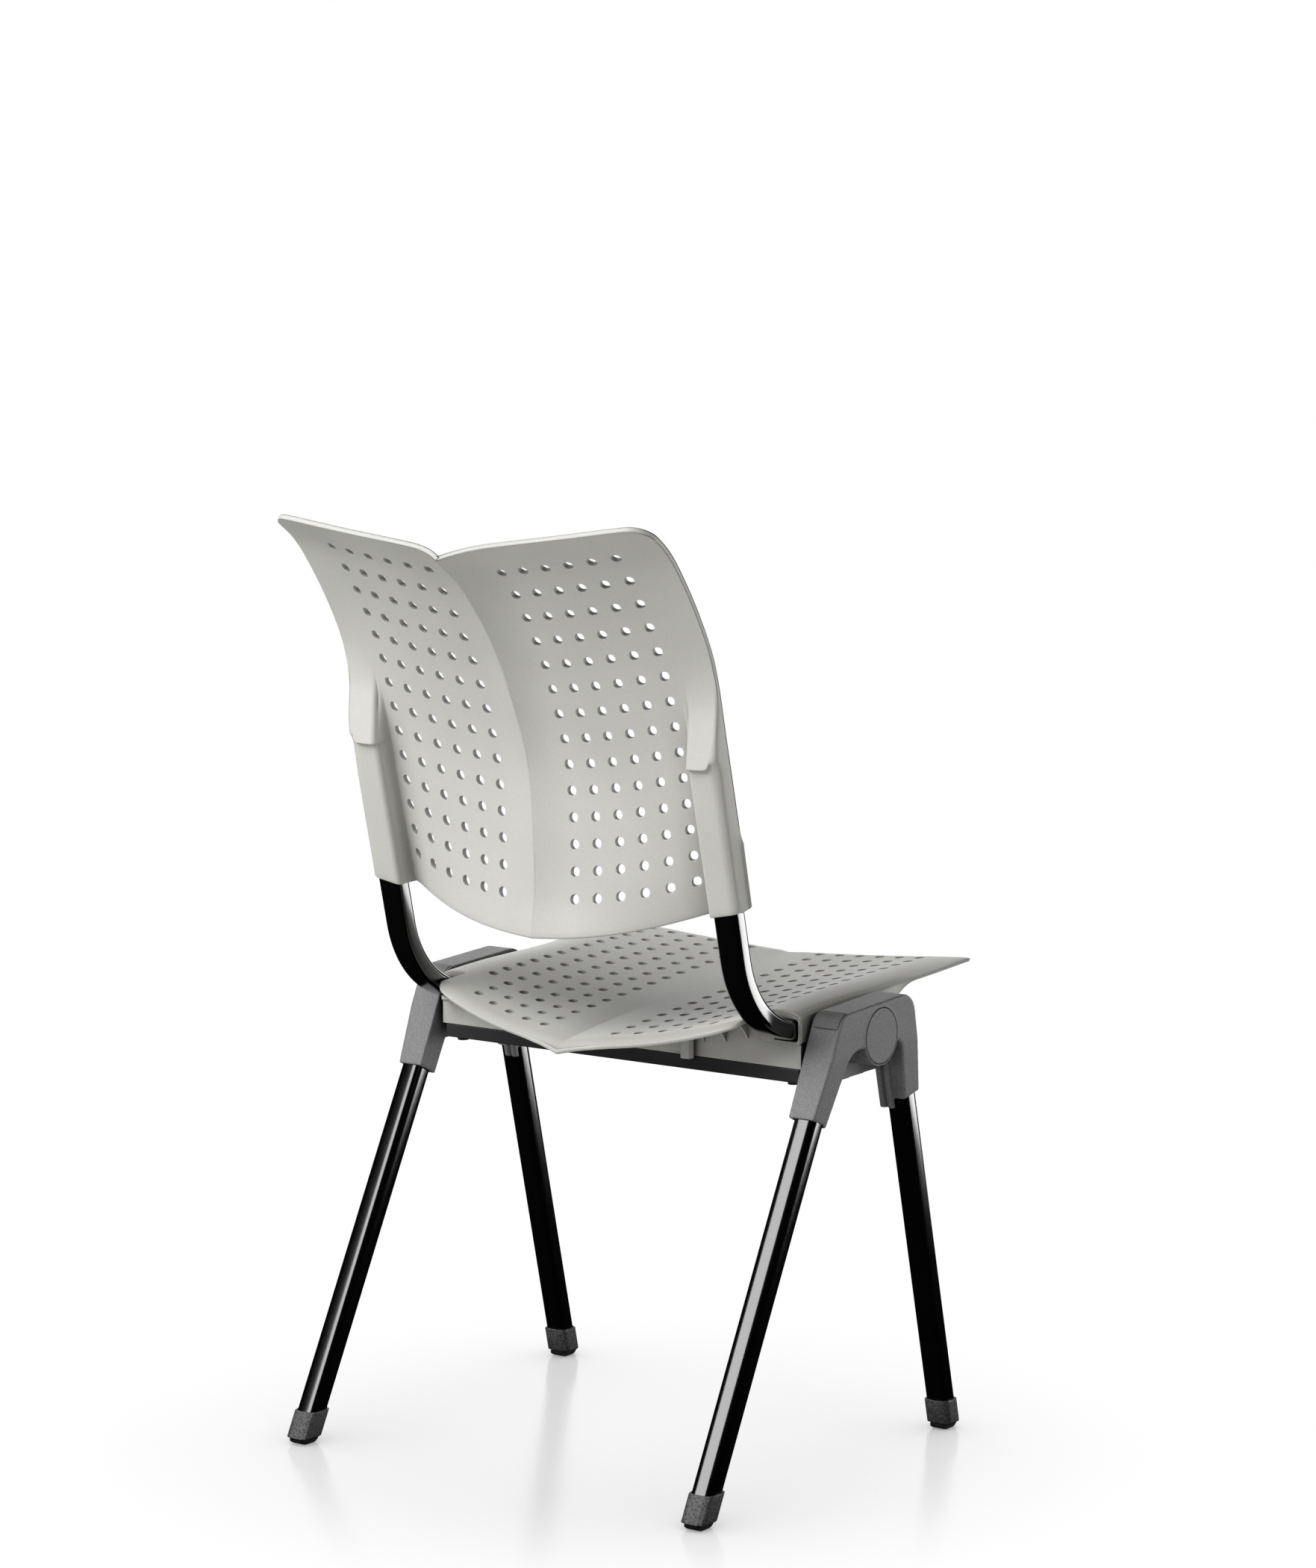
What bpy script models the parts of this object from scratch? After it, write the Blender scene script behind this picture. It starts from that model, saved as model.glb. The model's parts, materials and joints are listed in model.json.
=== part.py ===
"""Conference chair with a perforated seat and back that tilt together between two hubs.

Each side hub stands on two splayed legs. The seat shell, its rear housing, the cross bar,
the two bent upright tubes and the back shell swing rearward together about one axis
through both hubs. The sitter faces -Y. Reach is measured rearward from the tilt axis and
height from the floor; the finished chair is then moved so that its outline is centred.
"""

from math import atan2, cos, pi, radians, sin, tan

import bmesh
import bpy
from mathutils import Matrix, Vector
from mathutils.geometry import delaunay_2d_cdt

# Fits and cuts
FIT_GAP = 0.0003
REST_GAP = 0.0009
CUT_OVERRUN = 0.004
PROBE_STEP = 0.0005

# Tilt axis and the shift that centres the outline over the origin
AXIS_HEIGHT = 0.3997
CENTRING_SHIFT = 0.0578

# Perforation
HOLE_RADIUS = 0.0047
HOLE_SIDES = 6
HOLE_COLUMN_COUNT = 6
FIRST_COLUMN = 0.0411

# Back shell
BACK_HALF_WIDTH = 0.2095
BACK_WALL = 0.005
BACK_RIM_BULGE = 0.001
BACK_BASE_REACH = 0.160
BACK_RAKE = 0.176
BACK_BASE_RISE = 0.0923
BACK_BASE_HEIGHT = AXIS_HEIGHT + BACK_BASE_RISE
BACK_HEIGHT = 0.384
BACK_ROW_COUNT = 14
BACK_CORNER_RADIUS = 0.018
BACK_EDGE_NOTCH = 0.007
BACK_STATION_SHARES = (0.0, 0.382, 0.764, 1.0)
BACK_TOP_ROW = -1.5
BACK_BOTTOM_ROW = 14.4
BACK_KNOT_ROWS = (BACK_TOP_ROW, 0, 1, 3, 5, 8, 11, 13, BACK_BOTTOM_ROW)
BACK_REACH_SHARES = (
    (0.998, 0.757, 0.640, 0.482, 0.352, 0.232, 0.195, 0.190, 0.227),
    (0.977, 0.769, 0.661, 0.493, 0.362, 0.223, 0.165, 0.160, 0.171),
    (0.952, 0.727, 0.619, 0.455, 0.330, 0.206, 0.114, 0.053, 0.013),
    (0.915, 0.725, 0.616, 0.447, 0.319, 0.222, 0.130, 0.071, 0.021),
)
BACK_HEIGHT_SHARES = (
    (0.939, 0.866, 0.814, 0.704, 0.590, 0.412, 0.223, 0.095, 0.001),
    (0.960, 0.888, 0.835, 0.724, 0.609, 0.429, 0.240, 0.111, 0.022),
    (0.984, 0.919, 0.866, 0.757, 0.643, 0.465, 0.283, 0.160, 0.077),
    (0.997, 0.942, 0.891, 0.783, 0.672, 0.497, 0.323, 0.206, 0.104),
)

# Upright tubes
UPRIGHT_WIDTH = 0.025
UPRIGHT_DEPTH = 0.018
UPRIGHT_LEAN = radians(13.4)
UPRIGHT_ENTRY_SLOPE = radians(11.5)
UPRIGHT_BEND_RADIUS = 0.096
UPRIGHT_BEND_REACH = 0.1418
UPRIGHT_BEND_RISE = 0.0243
UPRIGHT_BEND_HEIGHT = AXIS_HEIGHT + UPRIGHT_BEND_RISE
UPRIGHT_TOP_RISE = 0.248
UPRIGHT_TOP_HEIGHT = UPRIGHT_BEND_HEIGHT + UPRIGHT_TOP_RISE
UPRIGHT_TAIL_REACH = 0.030
UPRIGHT_BEND_STEPS = 7
TUBE_CROWN = 5.0
TUBE_FACETS = 12
TUBE_WALL = 0.0018

# Sleeves of the back shell
SLEEVE_WALL = 0.0016
SLEEVE_SIDE_WALL = 0.003
SLEEVE_EDGE = 0.0045
UPRIGHT_OFFSET = BACK_HALF_WIDTH - SLEEVE_EDGE - UPRIGHT_WIDTH / 2
SLEEVE_FILLET = 0.0045
PAD_STEP = 0.0032
PAD_BOTTOM_DROP = 0.0074
PAD_BOTTOM_HEIGHT = UPRIGHT_TOP_HEIGHT - PAD_BOTTOM_DROP
PAD_FADE = 0.327
PAD_STEP_ROWS = (8.56, 8.71)
SLEEVE_ROWS = (5.5, 6.3, 7, 8, 8.56, 8.71, 9.5, 11, 12, 13)

# Pitch of the hole columns, which fill the width between the crease and the sleeves
COLUMN_MARGIN = 0.01235
SLEEVE_INNER = UPRIGHT_OFFSET - UPRIGHT_WIDTH / 2 - FIT_GAP - SLEEVE_SIDE_WALL
LAST_COLUMN = SLEEVE_INNER - SLEEVE_FILLET - COLUMN_MARGIN
COLUMN_PITCH = (LAST_COLUMN - FIRST_COLUMN) / (HOLE_COLUMN_COUNT - 1)

# Seat shell
SEAT_INSET = 0.0065
SEAT_HALF_WIDTH = BACK_HALF_WIDTH - SEAT_INSET
SEAT_WALL = 0.0045
SEAT_RIM_BULGE = 0.0008
SEAT_REAR_REACH = 0.1636
SEAT_FRONT_REACH = -0.2195
SEAT_CORNER_REACH = 0.0770
SEAT_BASE_DROP = 0.0147
SEAT_BASE_HEIGHT = AXIS_HEIGHT - SEAT_BASE_DROP
SEAT_DISH = 0.060
SEAT_ROW_COUNT = 15
SEAT_REAR_MARGIN = 0.0309
SEAT_FRONT_MARGIN = 0.01564
SEAT_FIRST_ROW = SEAT_REAR_REACH - SEAT_REAR_MARGIN
SEAT_LAST_ROW = SEAT_FRONT_REACH + SEAT_FRONT_MARGIN
SEAT_ROW_PITCH = (SEAT_FIRST_ROW - SEAT_LAST_ROW) / (SEAT_ROW_COUNT - 1)
SEAT_ROW_BOW = 0.052
SEAT_BOW_ROWS = 12.08
SEAT_OPEN_COUNT = 2
SEAT_STATION_SHARES = (0.0, 0.394, 0.788, 1.0)
SEAT_KNOT_SHARES = (0.0, 0.112, 0.230, 0.373, 0.582, 0.791, 1.0)
SEAT_HEIGHT_SHARES = (
    (0.162, 0.239, 0.314, 0.401, 0.518, 0.628, 0.732),
    (0.251, 0.322, 0.393, 0.475, 0.588, 0.697, 0.803),
    (0.539, 0.603, 0.662, 0.725, 0.798, 0.853, 0.894),
    (0.564, 0.628, 0.702, 0.765, 0.803, 0.867, 0.950),
)
TONGUE_GAP = 0.003
TONGUE_HALF_WIDTH = UPRIGHT_OFFSET - UPRIGHT_WIDTH / 2 - TONGUE_GAP
TONGUE_SWEEP = 0.0365
TONGUE_CORNER_RADIUS = 0.012
REAR_LIP_DROP = 0.005
REAR_LIP_REACH = 0.014
FRONT_LIP_DROP = 0.003
FRONT_LIP_REACH = 0.016
CREASE_LIP_WIDTH = 0.014
SEAT_EDGE_NOTCH = 0.004

# Skirts along the sides of the seat
SKIRT_REACH = 0.0135
SKIRT_START = BACK_HALF_WIDTH - SKIRT_REACH
SKIRT_SPAN = 0.032
SKIRT_WALL = 0.0025
SKIRT_DEPTH = 0.0278
SKIRT_EDGE_DEPTH = 0.0012
SKIRT_SIDE_SHARES = (0.0, 0.42, 0.78, 0.95, 1.0)
SKIRT_DROP_SHARES = (0.0, 0.02, 0.10, 0.28, 1.0)
SKIRT_FADE_START = -0.040
SKIRT_FADE_END = -0.118
FRONT_CORNER_RADIUS = 0.012

# Width of the pivot arms inside the skirts
ARM_SIDE_GAP = 0.0011
ARM_WIDTH = 0.0284
ARM_OUTER = BACK_HALF_WIDTH - SKIRT_WALL - ARM_SIDE_GAP
ARM_INNER = ARM_OUTER - ARM_WIDTH

# Rear corners of the seat, closed by a wall with the socket that the upright enters
CORNER_WALL = 0.0035
CORNER_REAR_REACH = 0.0775
CORNER_LAP = 0.011
CORNER_INNER = TONGUE_HALF_WIDTH - CORNER_LAP
CORNER_BOTTOM_DROP = 0.0014
CORNER_BOTTOM_HEIGHT = AXIS_HEIGHT - CORNER_BOTTOM_DROP
SOCKET_MARGIN = 0.0012
SOCKET_CORNER = 0.003

# Rear housing under the seat
HOUSING_WALL = 0.003
HOUSING_REAR_REACH = 0.0755
HOUSING_INSET = 0.0015
HOUSING_HALF_WIDTH = BACK_HALF_WIDTH - HOUSING_INSET
HOUSING_FLANGE = 0.030
HOUSING_FLANGE_GAP = 0.0055
HOUSING_FLANGE_HALF_WIDTH = ARM_INNER - HOUSING_FLANGE_GAP
RIB_FIRST = 0.0518
RIB_END_MARGIN = 0.0168
RIB_THICKNESS = 0.0022
RIB_OUT_SHARES = (0.30, 0.60, 0.60, 1.0, 1.0)
RIB_SPAN = CORNER_INNER - RIB_END_MARGIN - RIB_FIRST
RIB_PITCH = RIB_SPAN / (len(RIB_OUT_SHARES) - 1)
RIB_REACH = 0.0165
RIB_DROP = 0.021
RIB_CURVE_SHARE = 0.42
BOSS_SET = 0.01015
BOSS_OFFSET = RIB_FIRST + RIB_PITCH + BOSS_SET
BOSS_RADIUS = 0.0065
BOSS_REACH = 0.0814
BOSS_BOTTOM_DROP = 0.0255
BOSS_BOTTOM_HEIGHT = AXIS_HEIGHT - BOSS_BOTTOM_DROP
PAD_WIDTH = 0.017
PAD_STAND = 0.003

# Cross bar
BAR_TOP_DROP = 0.0243
BAR_TOP_HEIGHT = AXIS_HEIGHT - BAR_TOP_DROP
BAR_THICKNESS = 0.0134
BAR_DEPTH = 0.042
BAR_REAR_REACH = 0.0745
BAR_END_INSET = 0.0009
BAR_HALF_WIDTH = ARM_OUTER - BAR_END_INSET
BAR_WALL = 0.0025
BAR_EDGE = 0.0015

# Pivot arms, shafts and bushes
ARM_REAR_REACH = 0.0720
ARM_FRONT_REACH = -0.048
ARM_FRONT_DEPTH = 0.014
ARM_HEEL_REACH = -0.026
ARM_EDGE = 0.007
ARM_SEAT_GAP = 0.0017
SHAFT_RADIUS = 0.010
SHAFT_FLANGE_RADIUS = 0.014
SHAFT_FLANGE = 0.003
SHAFT_SLOT_GAP = 0.0015
BUSH_WALL = 0.0055

# Section of the legs and the reach of their sleeves
LEG_WIDTH = 0.0225
LEG_DEPTH = 0.0205
LEG_CROWN = 4.0
REAR_SLEEVE_REACH = 0.0927
FRONT_SLEEVE_REACH = -0.0603

# Side hubs
HUB_CLEARANCE = 0.004
HUB_INNER_WALL = 0.00315
HUB_OUTER_WALL = 0.00565
HUB_INNER = BACK_HALF_WIDTH + HUB_CLEARANCE
LEG_OFFSET = HUB_INNER + HUB_INNER_WALL + FIT_GAP + LEG_WIDTH / 2
HUB_OUTER = LEG_OFFSET + LEG_WIDTH / 2 + FIT_GAP + HUB_OUTER_WALL
HUB_WEB = 0.003
WEB_INSET = 0.0004
HUB_EDGE = 0.0024
HUB_TOP_FRONT_SET = 0.0058
HUB_TOP_FRONT_REACH = FRONT_SLEEVE_REACH + HUB_TOP_FRONT_SET
HUB_TOP_FRONT_RISE = 0.0339
HUB_TOP_FRONT_HEIGHT = AXIS_HEIGHT + HUB_TOP_FRONT_RISE
HUB_TOP_FRONT_RADIUS = 0.020
HUB_TOP_REAR_SET = 0.0302
HUB_TOP_REAR_REACH = REAR_SLEEVE_REACH - HUB_TOP_REAR_SET
HUB_TOP_REAR_RISE = 0.0269
HUB_TOP_REAR_HEIGHT = AXIS_HEIGHT + HUB_TOP_REAR_RISE
HUB_TOP_REAR_RADIUS = 0.017
ARCH_DROP = 0.0082
ARCH_HEIGHT = AXIS_HEIGHT - ARCH_DROP
ARCH_REAR_RADIUS = 0.024
ARCH_FRONT_RADIUS = 0.010
WEB_REAR_DROP = 0.0412
WEB_REAR_HEIGHT = AXIS_HEIGHT - WEB_REAR_DROP
WEB_FRONT_DROP = 0.0382
WEB_FRONT_HEIGHT = AXIS_HEIGHT - WEB_FRONT_DROP
HUB_TAPER_DROP = 0.0117
HUB_TAPER_HEIGHT = AXIS_HEIGHT - HUB_TAPER_DROP
HUB_TAPER = 0.085
SLEEVE_CLEAR_WALL = 0.0017
DISC_RADIUS = 0.02575
DISC_RIM = 0.0022
DISC_DEPTH = 0.0025
DISC_PROUD = 0.0006
DISC_RIM_PROUD = 0.0004
LOBE_RADIUS = 0.0036
LOBE_DROP = 0.007
STACK_PAD_THICKNESS = 0.0012
STACK_PAD_MARGIN = 0.003
STACK_PAD_START = radians(2)
STACK_PAD_END = radians(70)
STACK_PAD_RIB_COUNT = 11

# Legs
FRONT_SLEEVE_DROP = 0.0647
FRONT_SLEEVE_HEIGHT = AXIS_HEIGHT - FRONT_SLEEVE_DROP
FRONT_LEG_LEAN = radians(13.45)
FRONT_LEG_TOP_RISE = 0.039
FRONT_LEG_TOP = FRONT_SLEEVE_HEIGHT + FRONT_LEG_TOP_RISE
REAR_SLEEVE_DROP = 0.068
REAR_SLEEVE_HEIGHT = AXIS_HEIGHT - REAR_SLEEVE_DROP
REAR_LEG_LEAN = radians(27.3)
REAR_LEG_TOP_RISE = 0.0523
REAR_LEG_TOP = REAR_SLEEVE_HEIGHT + REAR_LEG_TOP_RISE

# Feet
FOOT_TOP = 0.030
FOOT_BOTTOM = 0.0062
FOOT_WALL = 0.0021
FOOT_FLOOR = 0.005
SOLE_WIDTH = 0.015
SOLE_LENGTH = 0.024
SOLE_FLAT = 0.010
SOLE_THICKNESS = 0.0056
SOLE_STEPS = 4

# Screws
BAR_SCREW_RADIUS = 0.003
BAR_SCREW_HEAD_RADIUS = 0.0055
BAR_SCREW_HEAD = 0.003
BAR_SCREW_LENGTH = 0.024
BAR_SCREW_INSET = 0.0105
BOSS_SCREW_RADIUS = 0.0019
BOSS_SCREW_BITE = 0.003
BOSS_SCREW_HEAD_RADIUS = 0.0045
BOSS_SCREW_HEAD = 0.0025
SCREW_FACETS = 8
SHAFT_FACETS = 16
DISC_FACETS = 28


# Small tools for shapes


def smooth_through(knots, values, at):
    """Height at one place of a smooth curve that passes through every knot."""
    count = len(knots)
    index = max(0, min(count - 2, sum(1 for knot in knots if knot <= at) - 1))

    def slope(k):
        before, after = max(k - 1, 0), min(k + 1, count - 1)
        return (values[after] - values[before]) / (knots[after] - knots[before])

    span = knots[index + 1] - knots[index]
    t = (at - knots[index]) / span
    rise = values[index + 1] - values[index]
    start, end = slope(index) * span, slope(index + 1) * span
    bend = 3 * rise - 2 * start - end
    return values[index] + t * (start + t * (bend + t * (start + end - 2 * rise)))


def across_stations(stations, values, share):
    """Value across half the width: a parabola up to the third station, then one more."""
    inner, middle, outer, edge = values
    turn = stations[2]
    if share <= turn:
        t = share / stations[1]
        tilt = 2 * middle - 1.5 * inner - 0.5 * outer
        return inner + t * tilt + t * t * (0.5 * inner - middle + 0.5 * outer)
    slope = (inner - 4 * middle + 3 * outer) / turn
    run, span = share - turn, stations[3] - turn
    return outer + slope * run + (edge - outer - slope * span) * (run / span) ** 2


def surface_frame(surface, u, v):
    """Lengthwise stretches of a surface at one place, and its outer normal."""
    along_u = surface(u + PROBE_STEP, v) - surface(u - PROBE_STEP, v)
    along_v = surface(u, v + PROBE_STEP) - surface(u, v - PROBE_STEP)
    step = 2 * PROBE_STEP
    return along_u.length / step, along_v.length / step, along_u.cross(along_v).normalized()


def hole_ring(surface, u, v):
    """Outline of one hole, drawn flat so that it comes out regular on the surface."""
    stretch_u, stretch_v, _ = surface_frame(surface, u, v)
    turns = [2 * pi * k / HOLE_SIDES for k in range(HOLE_SIDES)]
    return [
        (u + HOLE_RADIUS * cos(turn) / stretch_u, v + HOLE_RADIUS * sin(turn) / stretch_v)
        for turn in turns
    ]


def hole_columns():
    """Places of the hole columns on one side of the crease."""
    return [FIRST_COLUMN + COLUMN_PITCH * k for k in range(HOLE_COLUMN_COUNT)]


def mirrored_outline(half):
    """Closed outline from its right half, which starts and ends on the crease."""
    return half + [(-u, v) for u, v in reversed(half[1:-1])]


def both_sides(guides):
    """Guide lines and their mirror images."""
    return guides + [[(-u, v) for u, v in guide] for guide in guides]


def lies_inside(outline, point):
    """Whether a point of the flat layout lies inside a closed outline."""
    inside = False
    for (u0, v0), (u1, v1) in zip(outline, outline[1:] + outline[:1]):
        if (v0 > point.y) != (v1 > point.y):
            crossing = u0 + (point.y - v0) * (u1 - u0) / (v1 - v0)
            inside = inside != (point.x < crossing)
    return inside


def double_skin(name, outline, holes, guides, outer, inner, bulge):
    """Closed shell between two skins over one flat layout with an outline and holes."""
    points, edges, loops = [], [], []
    for loop in [outline] + holes:
        start, count = len(points), len(loop)
        points.extend(loop)
        edges.extend((start + k, start + (k + 1) % count) for k in range(count))
        loops.append(range(start, start + count))
    for guide in guides:
        start = len(points)
        points.extend(guide)
        edges.extend((start + k, start + k + 1) for k in range(len(guide) - 1))
    flat = [Vector(point) for point in points]
    places, _, faces, origins, _, _ = delaunay_2d_cdt(flat, edges, [], 1, 1e-7, True)
    placed = {source: k for k, sources in enumerate(origins) for source in sources}
    hole_of = {placed[k]: number for number, loop in enumerate(loops[1:]) for k in loop}
    count = len(places)
    mesh = bmesh.new()
    top = [mesh.verts.new(outer(u, v)) for u, v in places]
    low = [mesh.verts.new(inner(u, v)) for u, v in places]
    for face in faces:
        rings = {hole_of.get(k, -1 - k) for k in face}
        middle = sum((places[k] for k in face), Vector((0, 0))) / len(face)
        if len(rings) > 1 and lies_inside(outline, middle):
            mesh.faces.new([top[k] for k in face])
            mesh.faces.new([low[k] for k in reversed(face)])
    for number, loop in enumerate(loops):
        ring = [placed[k] for k in loop]
        middle = rim_vertices(mesh, ring, places, top, low, outer, bulge) if number == 0 else None
        for k, here in enumerate(ring):
            beyond = ring[(k + 1) % len(ring)]
            if middle is None:
                mesh.faces.new((top[here], low[here], low[beyond], top[beyond]))
                continue
            after = (k + 1) % len(ring)
            mesh.faces.new((top[here], middle[k], middle[after], top[beyond]))
            mesh.faces.new((middle[k], low[here], low[beyond], middle[after]))
    return finish_mesh(name, mesh)


def rim_vertices(mesh, ring, places, top, low, outer, bulge):
    """Points halfway through the rim, pushed outward so that the edge is not square."""
    middle = []
    for k, here in enumerate(ring):
        step = Vector(places[ring[(k + 1) % len(ring)]]) - Vector(places[ring[k - 1]])
        inward = Vector((-step.y, step.x)).normalized() * PROBE_STEP
        u, v = places[here]
        outward = (outer(u, v) - outer(u + inward.x, v + inward.y)).normalized()
        halfway = (top[here].co + low[here].co) / 2
        middle.append(mesh.verts.new(halfway + outward * bulge))
    return middle


def finish_mesh(name, mesh):
    """Object from a bmesh, with its faces turned outward."""
    bmesh.ops.recalc_face_normals(mesh, faces=mesh.faces)
    data = bpy.data.meshes.new(name)
    mesh.to_mesh(data)
    mesh.free()
    thing = bpy.data.objects.new(name, data)
    bpy.context.scene.collection.objects.link(thing)
    return thing


def loft(name, rings):
    """Closed solid through a row of rings that have as many points each."""
    mesh = bmesh.new()
    rows = [[mesh.verts.new(point) for point in ring] for ring in rings]
    count = len(rows[0])
    for row, following in zip(rows, rows[1:]):
        for k in range(count):
            after = (k + 1) % count
            mesh.faces.new((row[k], row[after], following[after], following[k]))
    mesh.faces.new(rows[0])
    mesh.faces.new(rows[-1])
    return finish_mesh(name, mesh)


def hollow_loft(name, outer, inner):
    """Tube with a wall between two rows of rings, open at both ends."""
    mesh = bmesh.new()
    count = len(outer[0])
    skins = [[[mesh.verts.new(point) for point in ring] for ring in skin] for skin in (outer, inner)]
    for rows in skins:
        for row, following in zip(rows, rows[1:]):
            for k in range(count):
                after = (k + 1) % count
                mesh.faces.new((row[k], row[after], following[after], following[k]))
    for end in (0, -1):
        outside, inside = skins[0][end], skins[1][end]
        for k in range(count):
            after = (k + 1) % count
            mesh.faces.new((outside[k], outside[after], inside[after], inside[k]))
    return finish_mesh(name, mesh)


def plate(name, outline, start, end):
    """Solid from a side outline of reach and height, spread across the width."""
    rings = [[Vector((x, reach, height)) for reach, height in outline] for x in (start, end)]
    return loft(name, rings)


def wall_plate(name, outline, front, rear):
    """Solid from a rear view outline of width and height, spread along the reach."""
    rings = [[Vector((x, reach, height)) for x, height in outline] for reach in (front, rear)]
    return loft(name, rings)


def box(name, x_range, reach_range, height_range):
    """Straight block between two places along each direction."""
    (low, high) = height_range
    outline = [(reach, low) for reach in reach_range]
    outline += [(reach, high) for reach in reversed(reach_range)]
    return plate(name, outline, *x_range)


def round_bar(name, centre, radius, start, end, direction, facets):
    """Round bar along one direction through a centre point."""
    side = direction.orthogonal().normalized()
    up = direction.cross(side)
    turns = [2 * pi * k / facets for k in range(facets)]
    spread = [(side * cos(turn) + up * sin(turn)) * radius for turn in turns]
    rings = [[centre + direction * place + offset for offset in spread] for place in (start, end)]
    return loft(name, rings)


def combine(target, other, operation):
    """Cut or join one solid with another and drop the other."""
    step = target.modifiers.new(operation.lower(), "BOOLEAN")
    step.operation = operation
    step.solver = "EXACT"
    step.object = other
    bpy.context.view_layer.update()
    view = bpy.context.evaluated_depsgraph_get()
    result = bpy.data.meshes.new_from_object(target.evaluated_get(view))
    old = target.data
    target.modifiers.remove(step)
    target.data = result
    result.name = target.name
    bpy.data.meshes.remove(old)
    bpy.data.objects.remove(other)
    return target


def cut(target, other):
    """Remove the other solid from the target."""
    return combine(target, other, "DIFFERENCE")


def join(target, other):
    """Fuse the other solid with the target."""
    return combine(target, other, "UNION")


def soften(thing, width, segments, chosen):
    """Round the edges for which the chosen test holds."""
    mesh = bmesh.new()
    mesh.from_mesh(thing.data)
    mesh.normal_update()
    edges = [edge for edge in mesh.edges if len(edge.link_faces) == 2 and chosen(edge)]
    bmesh.ops.bevel(
        mesh, geom=edges, offset=width, segments=segments, profile=0.5, affect="EDGES",
        clamp_overlap=True,
    )
    mesh.to_mesh(thing.data)
    mesh.free()
    return thing


def corner_arc(before, corner, after, radius):
    """Centre and the two touching points of an arc that rounds a corner."""
    here, back, ahead = Vector(corner), Vector(before), Vector(after)
    to_back, to_ahead = (back - here).normalized(), (ahead - here).normalized()
    half = to_back.angle(to_ahead) / 2
    centre = here + (to_back + to_ahead).normalized() * radius / sin(half)
    reach = radius / tan(half)
    return centre, here + to_back * reach, here + to_ahead * reach


def rounded_outline(corners):
    """Outline with each corner rounded by its own radius and number of steps."""
    outline = []
    for k, (reach, height, radius, steps) in enumerate(corners):
        if not steps:
            outline.append((reach, height))
            continue
        before, after = corners[k - 1][:2], corners[(k + 1) % len(corners)][:2]
        centre, start, end = corner_arc(before, (reach, height), after, radius)
        for step in range(steps + 1):
            ray = (start - centre).lerp(end - centre, step / steps).normalized()
            outline.append(tuple(centre + ray * radius))
    return outline


def crowned_section(half_width, half_depth, crown):
    """Section of a tube with softly crowned sides, as width and depth."""
    section = []
    for k in range(TUBE_FACETS):
        turn = 2 * pi * (k + 0.5) / TUBE_FACETS
        share_x = abs(cos(turn)) ** (2 / crown) * (1 if cos(turn) > 0 else -1)
        share_d = abs(sin(turn)) ** (2 / crown) * (1 if sin(turn) > 0 else -1)
        section.append((half_width * share_x, half_depth * share_d))
    return section


# Back shell


def back_surface(x, v):
    """Rear face of the plain back shell; v counts hole rows from the top in pitches."""
    row, share = v / COLUMN_PITCH, min(abs(x) / BACK_HALF_WIDTH, 1.0)
    reaches = [smooth_through(BACK_KNOT_ROWS, line, row) for line in BACK_REACH_SHARES]
    heights = [smooth_through(BACK_KNOT_ROWS, line, row) for line in BACK_HEIGHT_SHARES]
    reach = BACK_BASE_REACH + BACK_RAKE * across_stations(BACK_STATION_SHARES, reaches, share)
    height = BACK_HEIGHT * across_stations(BACK_STATION_SHARES, heights, share)
    return Vector((x, reach, BACK_BASE_HEIGHT + height))


def sleeve_columns():
    """Places across a sleeve with their share of its depth and the rounding there."""
    inner, outer = SLEEVE_INNER, BACK_HALF_WIDTH
    return [
        (inner - SLEEVE_FILLET, 0.0, 0.0),
        (inner, 1.0, 0.6 * SLEEVE_EDGE),
        (inner + 0.5 * SLEEVE_EDGE, 1.0, 0.0),
        (outer - SLEEVE_EDGE, 1.0, 0.0),
        (outer - 0.25 * SLEEVE_EDGE, 1.0, 0.3 * SLEEVE_EDGE),
        (outer, 1.0, SLEEVE_EDGE),
    ]


def across_sleeve(side):
    """Share of the sleeve's depth and its edge rounding at one distance from the crease."""
    columns = sleeve_columns()
    for (x0, share0, drop0), (x1, share1, drop1) in zip(columns, columns[1:]):
        if side <= x1:
            t = (side - x0) / (x1 - x0)
            return share0 + (share1 - share0) * t, drop0 + (drop1 - drop0) * t
    return columns[-1][1:]


def behind_upright(point):
    """Distance of a point behind the centre line of the upper upright run."""
    reach, height = point.y - UPRIGHT_BEND_REACH, point.z - UPRIGHT_BEND_HEIGHT
    return reach * cos(UPRIGHT_LEAN) - height * sin(UPRIGHT_LEAN)


def back_rear_face(x, v):
    """Rear face of the back shell with the sleeves and their finger pads."""
    point = back_surface(x, v)
    side, row = abs(x), v / COLUMN_PITCH
    if side <= sleeve_columns()[0][0] or row < SLEEVE_ROWS[0]:
        return point
    share, drop = across_sleeve(side)
    face = UPRIGHT_DEPTH / 2 + FIT_GAP + SLEEVE_WALL - drop
    if row < sum(PAD_STEP_ROWS) / 2:
        face += PAD_STEP - PAD_FADE * (point.z - PAD_BOTTOM_HEIGHT)
    extra = max(face - behind_upright(point), 0.0) * share
    return point + Vector((0, cos(UPRIGHT_LEAN), -sin(UPRIGHT_LEAN))) * extra


def back_front_face(x, v):
    """Face of the back shell on the sitter's side."""
    normal = surface_frame(back_surface, x, v)[2]
    return back_surface(x, v) - normal * BACK_WALL


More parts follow.
